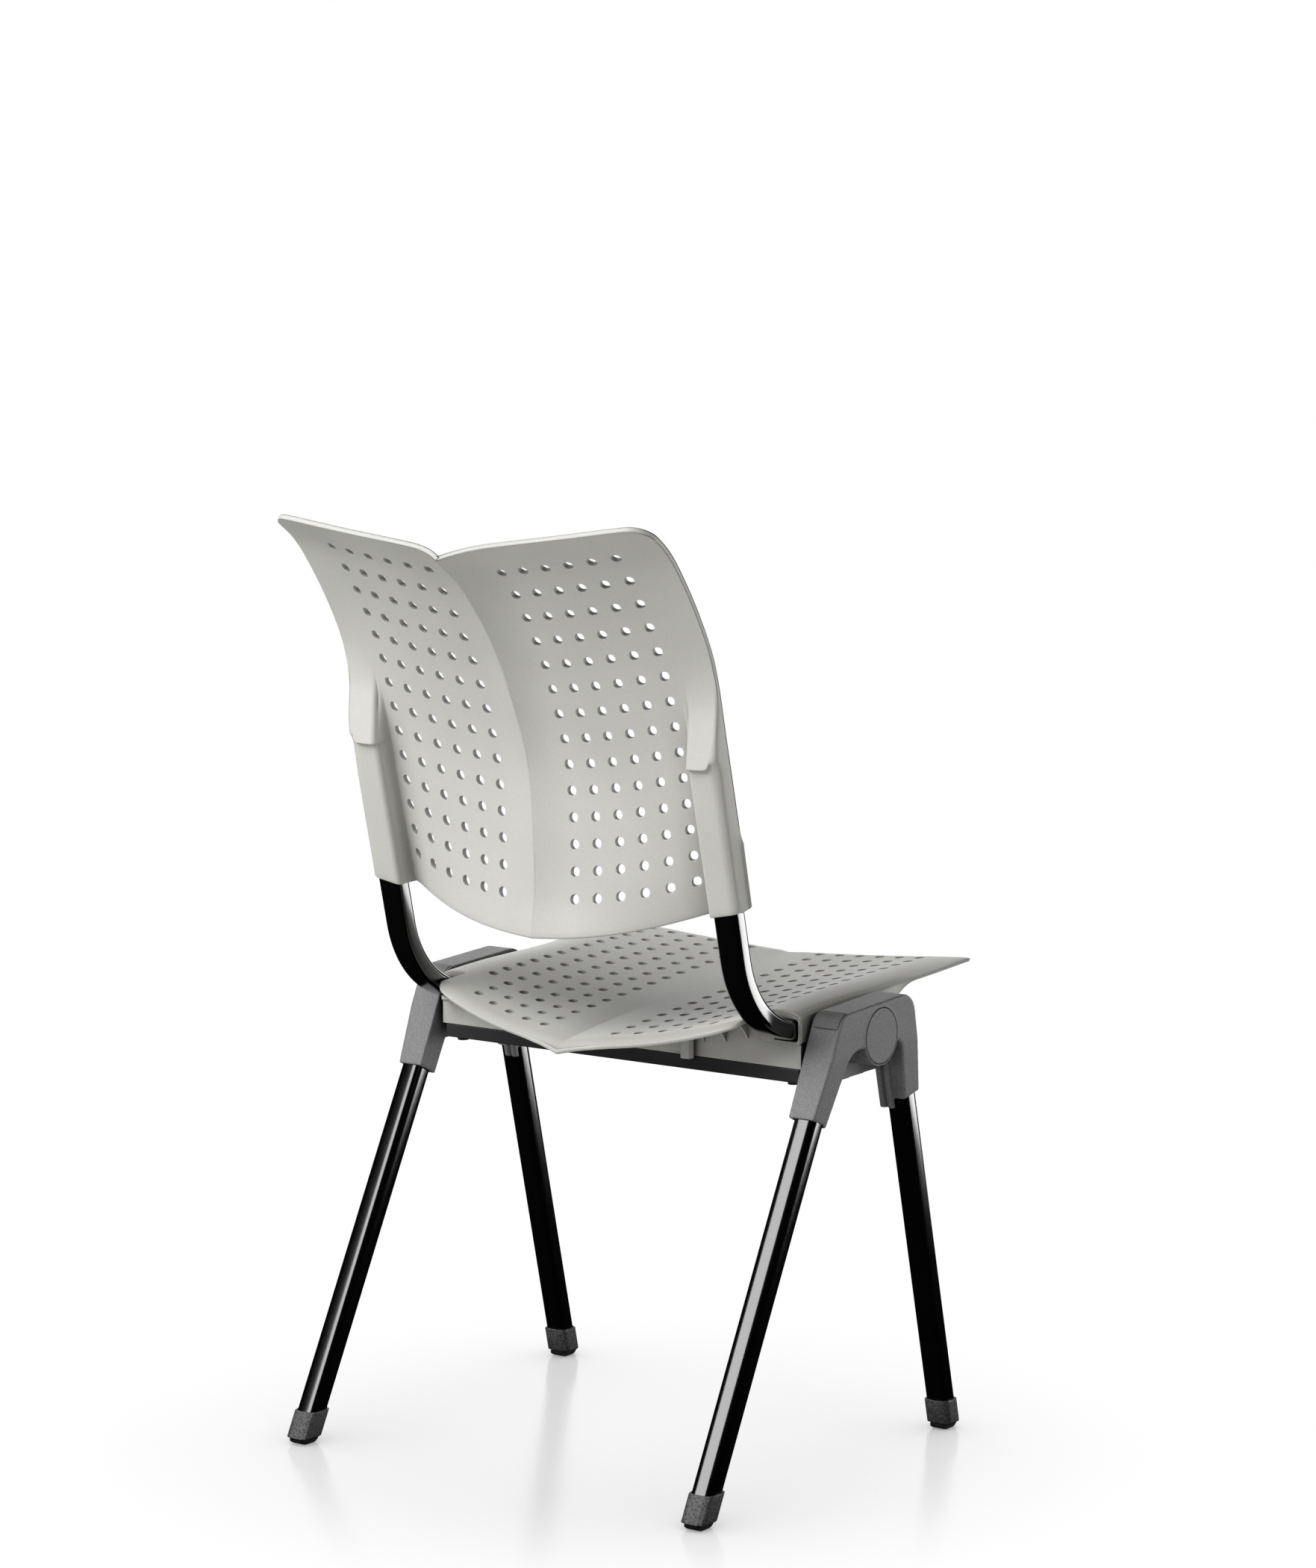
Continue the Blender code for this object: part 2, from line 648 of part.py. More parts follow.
def back_outline():
    """Flat outline of the back shell from the crease over the right side."""
    pitch = COLUMN_PITCH
    top, bottom = BACK_TOP_ROW * pitch, BACK_BOTTOM_ROW * pitch
    edge = back_surface(BACK_HALF_WIDTH, 0) - back_surface(BACK_HALF_WIDTH, top)
    stretch = edge.length / -top
    half = [(0.0, top + BACK_EDGE_NOTCH / stretch)]
    half += [(share * FIRST_COLUMN, top) for share in (0.25, 0.6)]
    half += [(column, top) for column in hole_columns()]
    for step in range(5):
        turn = step * pi / 8
        across = BACK_HALF_WIDTH - BACK_CORNER_RADIUS * (1 - sin(turn))
        half.append((across, top + BACK_CORNER_RADIUS * (1 - cos(turn)) / stretch))
    side_rows = [0, 1, 2, 3, 4, *SLEEVE_ROWS]
    half += [(BACK_HALF_WIDTH, row * pitch) for row in side_rows]
    half += [(column, bottom) for column, _, _ in reversed(sleeve_columns())]
    half += [(column, bottom) for column in reversed(hole_columns())]
    half += [(0.0, bottom)]
    return mirrored_outline(half)


def back_guides():
    """Lines that the skins follow: crease, flare, sleeve corners and finger pad steps."""
    pitch = COLUMN_PITCH
    top, bottom = BACK_TOP_ROW * pitch, BACK_BOTTOM_ROW * pitch
    crease = [(0.0, row * pitch) for row in [-0.75, *range(BACK_ROW_COUNT)]]
    edge = BACK_HALF_WIDTH - BACK_CORNER_RADIUS
    flare = [[(column, top / 2)] for column in hole_columns() + [edge]]
    beyond = [[(edge, row * pitch)] for row in range(5)]
    columns = [column for column, _, _ in sleeve_columns()]
    rows = [row * pitch for row in SLEEVE_ROWS]
    posts = [[(column, v) for v in rows + [bottom]] for column in columns[:-1]]
    steps = [[(column, row * pitch) for column in columns] for row in PAD_STEP_ROWS]
    return [crease + [(0.0, bottom)]] + both_sides(flare + beyond + posts + steps)


def upright_path(start_height, tail_reach):
    """Centre points and directions of an upright from its top to its tail in the arm."""
    up = Vector((0, sin(UPRIGHT_LEAN), cos(UPRIGHT_LEAN)))
    inward = Vector((0, -cos(UPRIGHT_LEAN), sin(UPRIGHT_LEAN)))
    tail = Vector((0, -cos(UPRIGHT_ENTRY_SLOPE), -sin(UPRIGHT_ENTRY_SLOPE)))
    corner = Vector((0, UPRIGHT_BEND_REACH, UPRIGHT_BEND_HEIGHT))
    turn = up.angle(-tail)
    turn = pi - turn if turn > pi / 2 else turn
    run = UPRIGHT_BEND_RADIUS * tan(turn / 2)
    centre = corner + up * run + inward * UPRIGHT_BEND_RADIUS
    path = [(corner + up * (start_height - corner.z) / up.z, -up)]
    for step in range(UPRIGHT_BEND_STEPS + 1):
        angle = turn * step / UPRIGHT_BEND_STEPS
        spoke = -inward * cos(angle) - up * sin(angle)
        ahead = inward * sin(angle) - up * cos(angle)
        path.append((centre + spoke * UPRIGHT_BEND_RADIUS, ahead))
    path.append((corner + tail * (corner.y - tail_reach) / -tail.y, tail))
    return path


def rings_along(path, offset, half_width, half_depth):
    """Crowned rings square to a path that stays in one upright plane."""
    rings = []
    for point, ahead in path:
        depth = Vector((0, -ahead.z, ahead.y))
        centre = point + Vector((offset, 0, 0))
        section = crowned_section(half_width, half_depth, TUBE_CROWN)
        rings.append([centre + Vector((x, 0, 0)) + depth * d for x, d in section])
    return rings


def make_back_shell():
    """Back shell with its holes, sleeves and the pockets for the uprights."""
    columns = [side * column for column in hole_columns() for side in (-1, 1)]
    places = [(x, row * COLUMN_PITCH) for x in columns for row in range(BACK_ROW_COUNT)]
    holes = [hole_ring(back_surface, x, v) for x, v in places]
    shell = double_skin(
        "back_shell", back_outline(), holes, back_guides(), back_rear_face, back_front_face,
        BACK_RIM_BULGE,
    )
    top = UPRIGHT_TOP_HEIGHT + FIT_GAP
    path = upright_path(top, UPRIGHT_TAIL_REACH)[:2]
    half_width, half_depth = UPRIGHT_WIDTH / 2 + FIT_GAP, UPRIGHT_DEPTH / 2 + FIT_GAP
    for side in (-1, 1):
        rings = rings_along(path, side * UPRIGHT_OFFSET, half_width, half_depth)
        cut(shell, loft("pocket", rings))
    return shell


def make_upright(side):
    """Bent upright tube of one side."""
    path = upright_path(UPRIGHT_TOP_HEIGHT, UPRIGHT_TAIL_REACH)
    offset = side * UPRIGHT_OFFSET
    half_width, half_depth = UPRIGHT_WIDTH / 2, UPRIGHT_DEPTH / 2
    outer = rings_along(path, offset, half_width, half_depth)
    inner = rings_along(path, offset, half_width - TUBE_WALL, half_depth - TUBE_WALL)
    return hollow_loft("upright", outer, inner)


# Seat shell


def seat_rear_edge(side):
    """Reach of the tongue's rear edge at one distance from the crease."""
    share = min(side / TONGUE_HALF_WIDTH, 1.0)
    return SEAT_REAR_REACH - TONGUE_SWEEP * (0.7 * share + 0.3 * share * share)


def skirt_depth(reach):
    """Depth of the side skirt, which fades out ahead of the hubs."""
    share = (reach - SKIRT_FADE_END) / (SKIRT_FADE_START - SKIRT_FADE_END)
    share = min(max(share, 0.0), 1.0)
    return SKIRT_EDGE_DEPTH + (SKIRT_DEPTH - SKIRT_EDGE_DEPTH) * (1 - cos(pi * share)) / 2


def seat_height(side, reach):
    """Height of the seat's top, without its edge lips."""
    share = min(side / SEAT_HALF_WIDTH, 1.0)
    along = (SEAT_REAR_REACH - reach) / (SEAT_REAR_REACH - SEAT_FRONT_REACH)
    heights = [smooth_through(SEAT_KNOT_SHARES, line, along) for line in SEAT_HEIGHT_SHARES]
    return SEAT_BASE_HEIGHT + SEAT_DISH * across_stations(SEAT_STATION_SHARES, heights, share)


def lip_drop(side, reach):
    """Drop of the rear and front lips near the edges of the seat."""
    at_crease = 1 + max(1 - side / CREASE_LIP_WIDTH, 0.0)
    rear = seat_rear_edge(side) - reach
    drop = REAR_LIP_DROP * at_crease * max(1 - rear / REAR_LIP_REACH, 0.0) ** 2
    if side > TONGUE_HALF_WIDTH:
        drop = 0.0
    front = reach - SEAT_FRONT_REACH
    return drop + FRONT_LIP_DROP * at_crease * max(1 - front / FRONT_LIP_REACH, 0.0) ** 2


def along_shares(shares, share):
    """Place between evenly spread shares."""
    place = min(max(share, 0.0), 1.0) * (len(shares) - 1)
    index = min(int(place), len(shares) - 2)
    return shares[index] + (shares[index + 1] - shares[index]) * (place - index)


def seat_top_face(u, reach):
    """Top of the seat; beyond the skirt's start, u runs down the rolled side."""
    side, sign = abs(u), (1 if u >= 0 else -1)
    if side <= SKIRT_START:
        height = seat_height(side, reach) - lip_drop(side, reach)
        return Vector((u, reach, height))
    share = (side - SKIRT_START) / SKIRT_SPAN
    out = SKIRT_REACH * along_shares(SKIRT_SIDE_SHARES, share)
    drop = skirt_depth(reach) * along_shares(SKIRT_DROP_SHARES, share)
    crown = seat_height(SKIRT_START + out, reach) - lip_drop(SKIRT_START, reach)
    return Vector((sign * (SKIRT_START + out), reach, crown - drop))


def seat_low_face(u, reach):
    """Underside of the seat and inside of its skirts."""
    share = min(max((abs(u) - SKIRT_START) / SKIRT_SPAN, 0.0), 1.0)
    wall = SEAT_WALL + (SKIRT_WALL - SEAT_WALL) * min(2 * share, 1.0)
    spread = PROBE_STEP + SKIRT_SPAN / 10 * (1 if share > 0 else 0)
    along_u = seat_top_face(u + spread, reach) - seat_top_face(u - spread, reach)
    if share >= 1:
        along_u = seat_top_face(u, reach) - seat_top_face(u * (1 - spread / abs(u)), reach)
        along_u *= 1 if u > 0 else -1
    along_v = seat_top_face(u, reach + PROBE_STEP) - seat_top_face(u, reach - PROBE_STEP)
    return seat_top_face(u, reach) - along_u.cross(along_v).normalized() * wall


def underside(xs, reaches):
    """Lowest height of the seat's underside over a patch."""
    return min(seat_low_face(x, reach).z for x in xs for reach in reaches)


def seat_hole_reach(side, row):
    """Reach of one hole; the rows bow forward towards the sides."""
    bow = SEAT_ROW_BOW * (1 - row / SEAT_BOW_ROWS) * (side / SEAT_HALF_WIDTH) ** 2
    return SEAT_FIRST_ROW - SEAT_ROW_PITCH * row - bow


def side_reaches():
    """Stations along the side of the seat, closer together where the skirt fades."""
    fade = [SKIRT_FADE_START + (SKIRT_FADE_END - SKIRT_FADE_START) * k / 5 for k in range(6)]
    rear = [SEAT_CORNER_REACH * share for share in (1.0, 0.5, 0.0)]
    ahead = SEAT_FRONT_REACH + FRONT_CORNER_RADIUS
    front = [SKIRT_FADE_END + (ahead - SKIRT_FADE_END) * share for share in (0.33, 0.67, 1.0)]
    return rear + fade + front


def seat_outline():
    """Flat outline of the seat from the rear crease over the right side to the front."""
    edge = SKIRT_START + SKIRT_SPAN
    radius = TONGUE_CORNER_RADIUS
    half = [(0.0, seat_rear_edge(0.0) - SEAT_EDGE_NOTCH)]
    inner = [share * FIRST_COLUMN for share in (0.3, 0.7)]
    last = TONGUE_HALF_WIDTH - radius
    xs = inner + hole_columns()[:-1] + [last]
    half += [(x, seat_rear_edge(x)) for x in xs]
    for step in range(1, 5):
        turn = step * pi / 8
        across = last + radius * sin(turn)
        half.append((across, seat_rear_edge(across) - radius * (1 - cos(turn))))
    half += [(TONGUE_HALF_WIDTH, SEAT_CORNER_REACH + 0.5 * radius)]
    half += [(TONGUE_HALF_WIDTH + 0.2 * radius, SEAT_CORNER_REACH)]
    half += [(SKIRT_START, SEAT_CORNER_REACH)]
    roll = [SKIRT_START + SKIRT_SPAN * share for share in (0.25, 0.5, 0.75)]
    half += [(u, SEAT_CORNER_REACH) for u in roll]
    half += [(edge, reach) for reach in side_reaches()]
    front = SEAT_FRONT_REACH
    half += [(SKIRT_START + SKIRT_SPAN * 0.75, front + 0.35 * FRONT_CORNER_RADIUS)]
    half += [(SKIRT_START + SKIRT_SPAN * 0.4, front + 0.06 * FRONT_CORNER_RADIUS)]
    half += [(SKIRT_START, front)]
    half += [(x, front) for x in reversed(inner + hole_columns())]
    half += [(0.0, front + SEAT_EDGE_NOTCH)]
    half.reverse()
    return mirrored_outline(half)


def seat_guides():
    """Lines that the seat's skins follow: crease, lips and the roll into the skirts."""
    rows = [seat_hole_reach(0.0, row) for row in range(SEAT_ROW_COUNT)]
    rear = seat_rear_edge(0.0) - SEAT_EDGE_NOTCH
    lip = SEAT_FRONT_REACH + 0.45 * FRONT_LIP_REACH
    crease = [rear, rear - REAR_LIP_REACH, *rows, lip, SEAT_FRONT_REACH + SEAT_EDGE_NOTCH]
    ordered = sorted(set(crease), reverse=True)
    xs = hole_columns()[:-1] + [TONGUE_HALF_WIDTH - TONGUE_CORNER_RADIUS]
    rear_lip = [[(x, seat_rear_edge(x) - REAR_LIP_REACH)] for x in xs]
    tongue = [[(hole_columns()[-1], seat_hole_reach(hole_columns()[-1], 1))]]
    front_lip = [[(x, lip)] for x in hole_columns() + [SKIRT_START]]
    sides = [SKIRT_START + SKIRT_SPAN * share for share in (0.0, 0.25, 0.5, 0.75)]
    rolls = [[(u, reach) for reach in side_reaches()] for u in sides]
    return [[(0.0, reach) for reach in ordered]] + both_sides(rear_lip + tongue + front_lip + rolls)


def socket_outline(side, reach, margin):
    """Opening around the upright where it passes the plane at one reach."""
    path = upright_path(UPRIGHT_TOP_HEIGHT, UPRIGHT_TAIL_REACH)
    (start, ahead) = path[-2]
    height = start.z + (start.y - reach) * ahead.z / -ahead.y
    half_width = UPRIGHT_WIDTH / 2 + margin
    half_height = UPRIGHT_DEPTH / 2 / cos(UPRIGHT_ENTRY_SLOPE) + margin
    corners = [
        (side * UPRIGHT_OFFSET + a * half_width, height + b * half_height, SOCKET_CORNER, 2)
        for a, b in ((1, 1), (-1, 1), (-1, -1), (1, -1))
    ]
    return rounded_outline(corners)


def shaft_slot_outline():
    """Slot, open below, that lets the skirt clear the tilt shaft."""
    radius = SHAFT_RADIUS + SHAFT_SLOT_GAP
    turns = [pi * k / SCREW_FACETS for k in range(SCREW_FACETS + 1)]
    arch = [(radius * cos(turn), AXIS_HEIGHT + radius * sin(turn)) for turn in turns]
    low = AXIS_HEIGHT - SKIRT_DEPTH
    return arch + [(-radius, low), (radius, low)]


def make_seat_shell():
    """Seat shell with holes, skirts, tongue and the walled rear corners."""
    holes = []
    for column, x in enumerate(hole_columns()):
        first = SEAT_OPEN_COUNT if column == HOLE_COLUMN_COUNT - 1 else 0
        for row in range(first, SEAT_ROW_COUNT):
            reach = seat_hole_reach(x, row)
            holes += [hole_ring(seat_top_face, side * x, reach) for side in (-1, 1)]
    shell = double_skin(
        "seat_shell", seat_outline(), holes, seat_guides(), seat_top_face, seat_low_face,
        SEAT_RIM_BULGE,
    )
    front = CORNER_REAR_REACH - CORNER_WALL
    roll = [SKIRT_START + SKIRT_SPAN * share for share in (0.0, 0.25, 0.5, 0.75)]
    tops = [CORNER_INNER, (CORNER_INNER + SKIRT_START) / 2, *roll]
    for side in (-1, 1):
        edge = [
            (seat_top_face(side * u, front) + seat_low_face(side * u, front)) / 2 for u in tops
        ]
        outline = [(side * CORNER_INNER, CORNER_BOTTOM_HEIGHT)]
        outline += [(point.x, point.z) for point in edge]
        outline += [(edge[-1].x, CORNER_BOTTOM_HEIGHT)]
        join(shell, wall_plate("corner", outline, front, CORNER_REAR_REACH))
        opening = socket_outline(side, CORNER_REAR_REACH, SOCKET_MARGIN)
        overrun = CORNER_REAR_REACH + CUT_OVERRUN
        cut(shell, wall_plate("socket", opening, front - CUT_OVERRUN / 2, overrun))
        centre = Vector((side * BOSS_OFFSET, BOSS_REACH, underside([BOSS_OFFSET], [BOSS_REACH])))
        radius = BOSS_SCREW_RADIUS + FIT_GAP
        depth = BOSS_SCREW_BITE + FIT_GAP
        up = Vector((0, 0, 1))
        cut(shell, round_bar("bite", centre, radius, -CUT_OVERRUN, depth, up, SCREW_FACETS))
        ends = (side * SKIRT_START, side * HUB_INNER)
        cut(shell, plate("shaft_slot", shaft_slot_outline(), *ends))
    return shell


# Carrier under the seat


def make_rear_housing():
    """Light rear wall under the seat with its floor flange, gussets and screw bosses."""
    rear, front = HOUSING_REAR_REACH, HOUSING_REAR_REACH - HOUSING_WALL
    floor = BAR_TOP_HEIGHT + FIT_GAP
    shoulder = CORNER_BOTTOM_HEIGHT - FIT_GAP
    raised = CORNER_INNER - FIT_GAP
    half = [(HOUSING_HALF_WIDTH, floor), (HOUSING_HALF_WIDTH, shoulder), (raised, shoulder)]
    for column in [raised, *reversed(hole_columns()[:-1]), 0.0]:
        half.append((column, underside([column], [front, rear]) - REST_GAP))
    outline = half + [(-x, height) for x, height in reversed(half[:-1])]
    housing = wall_plate("rear_housing", outline, front, rear)
    flange = HOUSING_FLANGE_HALF_WIDTH
    shelf = (front - HOUSING_FLANGE, front + HOUSING_WALL / 2)
    lift = floor + WEB_INSET
    join(housing, box("flange", (-flange, flange), shelf, (lift, lift + HOUSING_WALL)))
    for side in (-1, 1):
        for number, out in enumerate(RIB_OUT_SHARES):
            join(housing, make_rib(side * (RIB_FIRST + RIB_PITCH * number), out * RIB_REACH))
        centre = Vector((side * BOSS_OFFSET, BOSS_REACH, BOSS_BOTTOM_HEIGHT))
        spots = [BOSS_OFFSET - BOSS_RADIUS, BOSS_OFFSET, BOSS_OFFSET + BOSS_RADIUS]
        reaches = [BOSS_REACH - BOSS_RADIUS, BOSS_REACH, BOSS_REACH + BOSS_RADIUS]
        length = underside(spots, reaches) - REST_GAP - BOSS_BOTTOM_HEIGHT
        up = Vector((0, 0, 1))
        pad_end = BOSS_OFFSET - BOSS_RADIUS / 2
        pad = sorted((side * pad_end, side * (pad_end - PAD_WIDTH)))
        lift = floor + PAD_STAND
        block = (rear - HOUSING_WALL / 2, rear + PAD_STAND)
        join(housing, box("pad", pad, block, (lift, shoulder - PAD_STAND)))
        join(housing, round_bar("boss", centre, BOSS_RADIUS, 0, length, up, SCREW_FACETS))
        bore = BOSS_SCREW_RADIUS + FIT_GAP
        end = length + CUT_OVERRUN
        cut(housing, round_bar("bore", centre, bore, -CUT_OVERRUN, end, up, SCREW_FACETS))
    return housing


def make_rib(x, out):
    """Thin gusset between the housing wall and the overhanging tongue."""
    start = HOUSING_REAR_REACH - HOUSING_WALL / 2
    end = HOUSING_REAR_REACH + out
    sides = [abs(x) - RIB_THICKNESS / 2, abs(x) + RIB_THICKNESS / 2]
    reaches = [start, (start + end) / 2, end]
    tops = [(reach, underside(sides, [reach]) - REST_GAP) for reach in reaches]
    foot = tops[0][1] - RIB_DROP
    middle = tops[-1][1] + (foot - tops[-1][1]) * 0.5
    pulled = start + (end - start) * RIB_CURVE_SHARE
    outline = tops + [(pulled, middle), (start, foot)]
    return plate("rib", outline, x - RIB_THICKNESS / 2, x + RIB_THICKNESS / 2)


def bar_screw_places():
    """Places of the screws that hold the bar to the two arms."""
    middle = BAR_REAR_REACH - BAR_DEPTH / 2
    return [
        Vector((side * UPRIGHT_OFFSET, middle + along * BAR_SCREW_INSET, 0))
        for side in (-1, 1)
        for along in (-1, 1)
    ]


def make_cross_bar():
    """Flat open-ended tube across the seat, drilled for the arm screws."""
    low, front = BAR_TOP_HEIGHT - BAR_THICKNESS, BAR_REAR_REACH - BAR_DEPTH
    corners = [
        (BAR_REAR_REACH, BAR_TOP_HEIGHT, BAR_EDGE, 2),
        (front, BAR_TOP_HEIGHT, BAR_EDGE, 2),
        (front, low, BAR_EDGE, 2),
        (BAR_REAR_REACH, low, BAR_EDGE, 2),
    ]
    bar = plate("cross_bar", rounded_outline(corners), -BAR_HALF_WIDTH, BAR_HALF_WIDTH)
    end = BAR_HALF_WIDTH + CUT_OVERRUN
    inside = (front + BAR_WALL, BAR_REAR_REACH - BAR_WALL)
    cut(bar, box("bore", (-end, end), inside, (low + BAR_WALL, BAR_TOP_HEIGHT - BAR_WALL)))
    up = Vector((0, 0, 1))
    radius = BAR_SCREW_RADIUS + FIT_GAP
    start, stop = low - CUT_OVERRUN, BAR_TOP_HEIGHT + CUT_OVERRUN
    for place in bar_screw_places():
        cut(bar, round_bar("hole", place, radius, start, stop, up, SCREW_FACETS))
    return bar


def make_pivot_arm(side):
    """Side arm that joins the bar, the upright's tail and the tilt shaft under the seat."""
    floor = BAR_TOP_HEIGHT + FIT_GAP
    across = [ARM_INNER, (ARM_INNER + ARM_OUTER) / 2, ARM_OUTER - ARM_EDGE]
    steps = 5
    top = []
    for step in range(steps + 1):
        reach = ARM_REAR_REACH + (ARM_FRONT_REACH - ARM_REAR_REACH) * step / steps
        top.append((reach, underside(across, [reach]) - ARM_SEAT_GAP))
    front = top[-1]
    outline = [(ARM_REAR_REACH, floor), *top, (front[0], front[1] - ARM_FRONT_DEPTH)]
    outline += [(ARM_HEEL_REACH, floor)]
    ends = sorted((side * ARM_INNER, side * ARM_OUTER))
    arm = plate("pivot_arm", outline, *ends)

    def upper_outer(edge):
        at_side = all(abs(vert.co.x) > ARM_OUTER - FIT_GAP for vert in edge.verts)
        above = all(vert.co.z > AXIS_HEIGHT for vert in edge.verts)
        return at_side and above and edge.calc_face_angle(0) > 1

    soften(arm, ARM_EDGE, 1, upper_outer)
    axis = Vector((0, 0, AXIS_HEIGHT))
    across_x = Vector((1, 0, 0))
    radius = SHAFT_RADIUS + FIT_GAP
    start, stop = ends[0] - CUT_OVERRUN, ends[1] + CUT_OVERRUN
    cut(arm, round_bar("bore", axis, radius, start, stop, across_x, SHAFT_FACETS))
    path = upright_path(UPRIGHT_TOP_HEIGHT, UPRIGHT_TAIL_REACH - FIT_GAP)[-2:]
    half_width, half_depth = UPRIGHT_WIDTH / 2 + FIT_GAP, UPRIGHT_DEPTH / 2 + FIT_GAP
    rings = rings_along(path, side * UPRIGHT_OFFSET, half_width, half_depth)
    cut(arm, loft("pocket", rings))
    up = Vector((0, 0, 1))
    low = BAR_TOP_HEIGHT - BAR_THICKNESS
    for place in bar_screw_places():
        if place.x * side > 0:
            end = low + BAR_SCREW_LENGTH + FIT_GAP
            radius = BAR_SCREW_RADIUS + FIT_GAP
            cut(arm, round_bar("hole", place, radius, low, end, up, SCREW_FACETS))
    return arm


def make_pivot_shaft(side):
    """Flanged shaft from the arm into the hub's bush."""
    end = HUB_OUTER - DISC_DEPTH - 2 * FIT_GAP
    start = ARM_INNER - FIT_GAP
    axis = Vector((0, 0, AXIS_HEIGHT))
    out = Vector((side, 0, 0))
    tail = start - SHAFT_FLANGE / 2
    shaft = round_bar("pivot_shaft", axis, SHAFT_RADIUS, tail, end, out, SHAFT_FACETS)
    flange = (start - SHAFT_FLANGE, start)
    return join(shaft, round_bar("flange", axis, SHAFT_FLANGE_RADIUS, *flange, out, SHAFT_FACETS))


def make_screw(place, radius, length, head_radius, head):
    """Screw standing upright with its head below the place and a hexagonal drive."""
    up = Vector((0, 0, 1))
    shank = round_bar("shank", place, radius, -head / 2, length, up, SCREW_FACETS)
    cap = round_bar("head", place, head_radius, -head, -FIT_GAP, up, SCREW_FACETS)
    cut(cap, round_bar("drive", place, radius, -head - CUT_OVERRUN, -0.6 * head, up, 6))
    return join(shank, cap)


# Side hubs


def sleeve_frame(front):
    """Foot of a hub sleeve, its lean forward and the top of the leg inside it."""
    if front:
        return FRONT_SLEEVE_REACH, FRONT_SLEEVE_HEIGHT, -FRONT_LEG_LEAN, FRONT_LEG_TOP
    return REAR_SLEEVE_REACH, REAR_SLEEVE_HEIGHT, REAR_LEG_LEAN, REAR_LEG_TOP


def leg_reach(front, height):
    """Reach of a leg's centre line at one height."""
    reach, foot_height, lean, _ = sleeve_frame(front)
    return reach + (foot_height - height) * tan(lean)


def sleeve_ends(front):
    """Front and rear corners at the open end of a hub sleeve."""
    reach, height, lean, _ = sleeve_frame(front)
    half = LEG_DEPTH / 2 + FIT_GAP + SLEEVE_CLEAR_WALL
    run, rise = half * cos(lean), half * sin(lean)
    return (reach - run, height - rise), (reach + run, height + rise)


def hub_corners():
    """Corners of the hub's side outline with their rounding."""
    front_end, rear_end = sleeve_ends(True), sleeve_ends(False)
    rear_run = (ARCH_HEIGHT - rear_end[0][1]) * tan(REAR_LEG_LEAN)
    front_run = (ARCH_HEIGHT - front_end[1][1]) * tan(FRONT_LEG_LEAN)
    return [
        (HUB_TOP_FRONT_REACH, HUB_TOP_FRONT_HEIGHT, HUB_TOP_FRONT_RADIUS, 6),
        (HUB_TOP_REAR_REACH, HUB_TOP_REAR_HEIGHT, HUB_TOP_REAR_RADIUS, 6),
        (*rear_end[1], 0, 0),
        (*rear_end[0], 0, 0),
        (rear_end[0][0] - rear_run, ARCH_HEIGHT, ARCH_REAR_RADIUS, 5),
        (front_end[1][0] + front_run, ARCH_HEIGHT, ARCH_FRONT_RADIUS, 4),
        (*front_end[1], 0, 0),
        (*front_end[0], 0, 0),
    ]


def leg_section(centre, lean, margin):
    """Level ring around a leaning leg."""
    half_width = LEG_WIDTH / 2 + margin
    half_depth = (LEG_DEPTH / 2 + margin) / cos(lean)
    section = crowned_section(half_width, half_depth, LEG_CROWN)
    return [centre + Vector((x, d, 0)) for x, d in section]


def leg_rings(side, front, low, high, margin):
    """Level rings with a leg's section at two heights."""
    lean = sleeve_frame(front)[2]
    rings = []
    for height in (low, high):
        centre = Vector((side * LEG_OFFSET, leg_reach(front, height), height))
        rings.append(leg_section(centre, lean, margin))
    return rings


def leg_solid(name, side, front, low, high, margin):
    """Leaning prism with a leg's section between two heights."""
    return loft(name, leg_rings(side, front, low, high, margin))


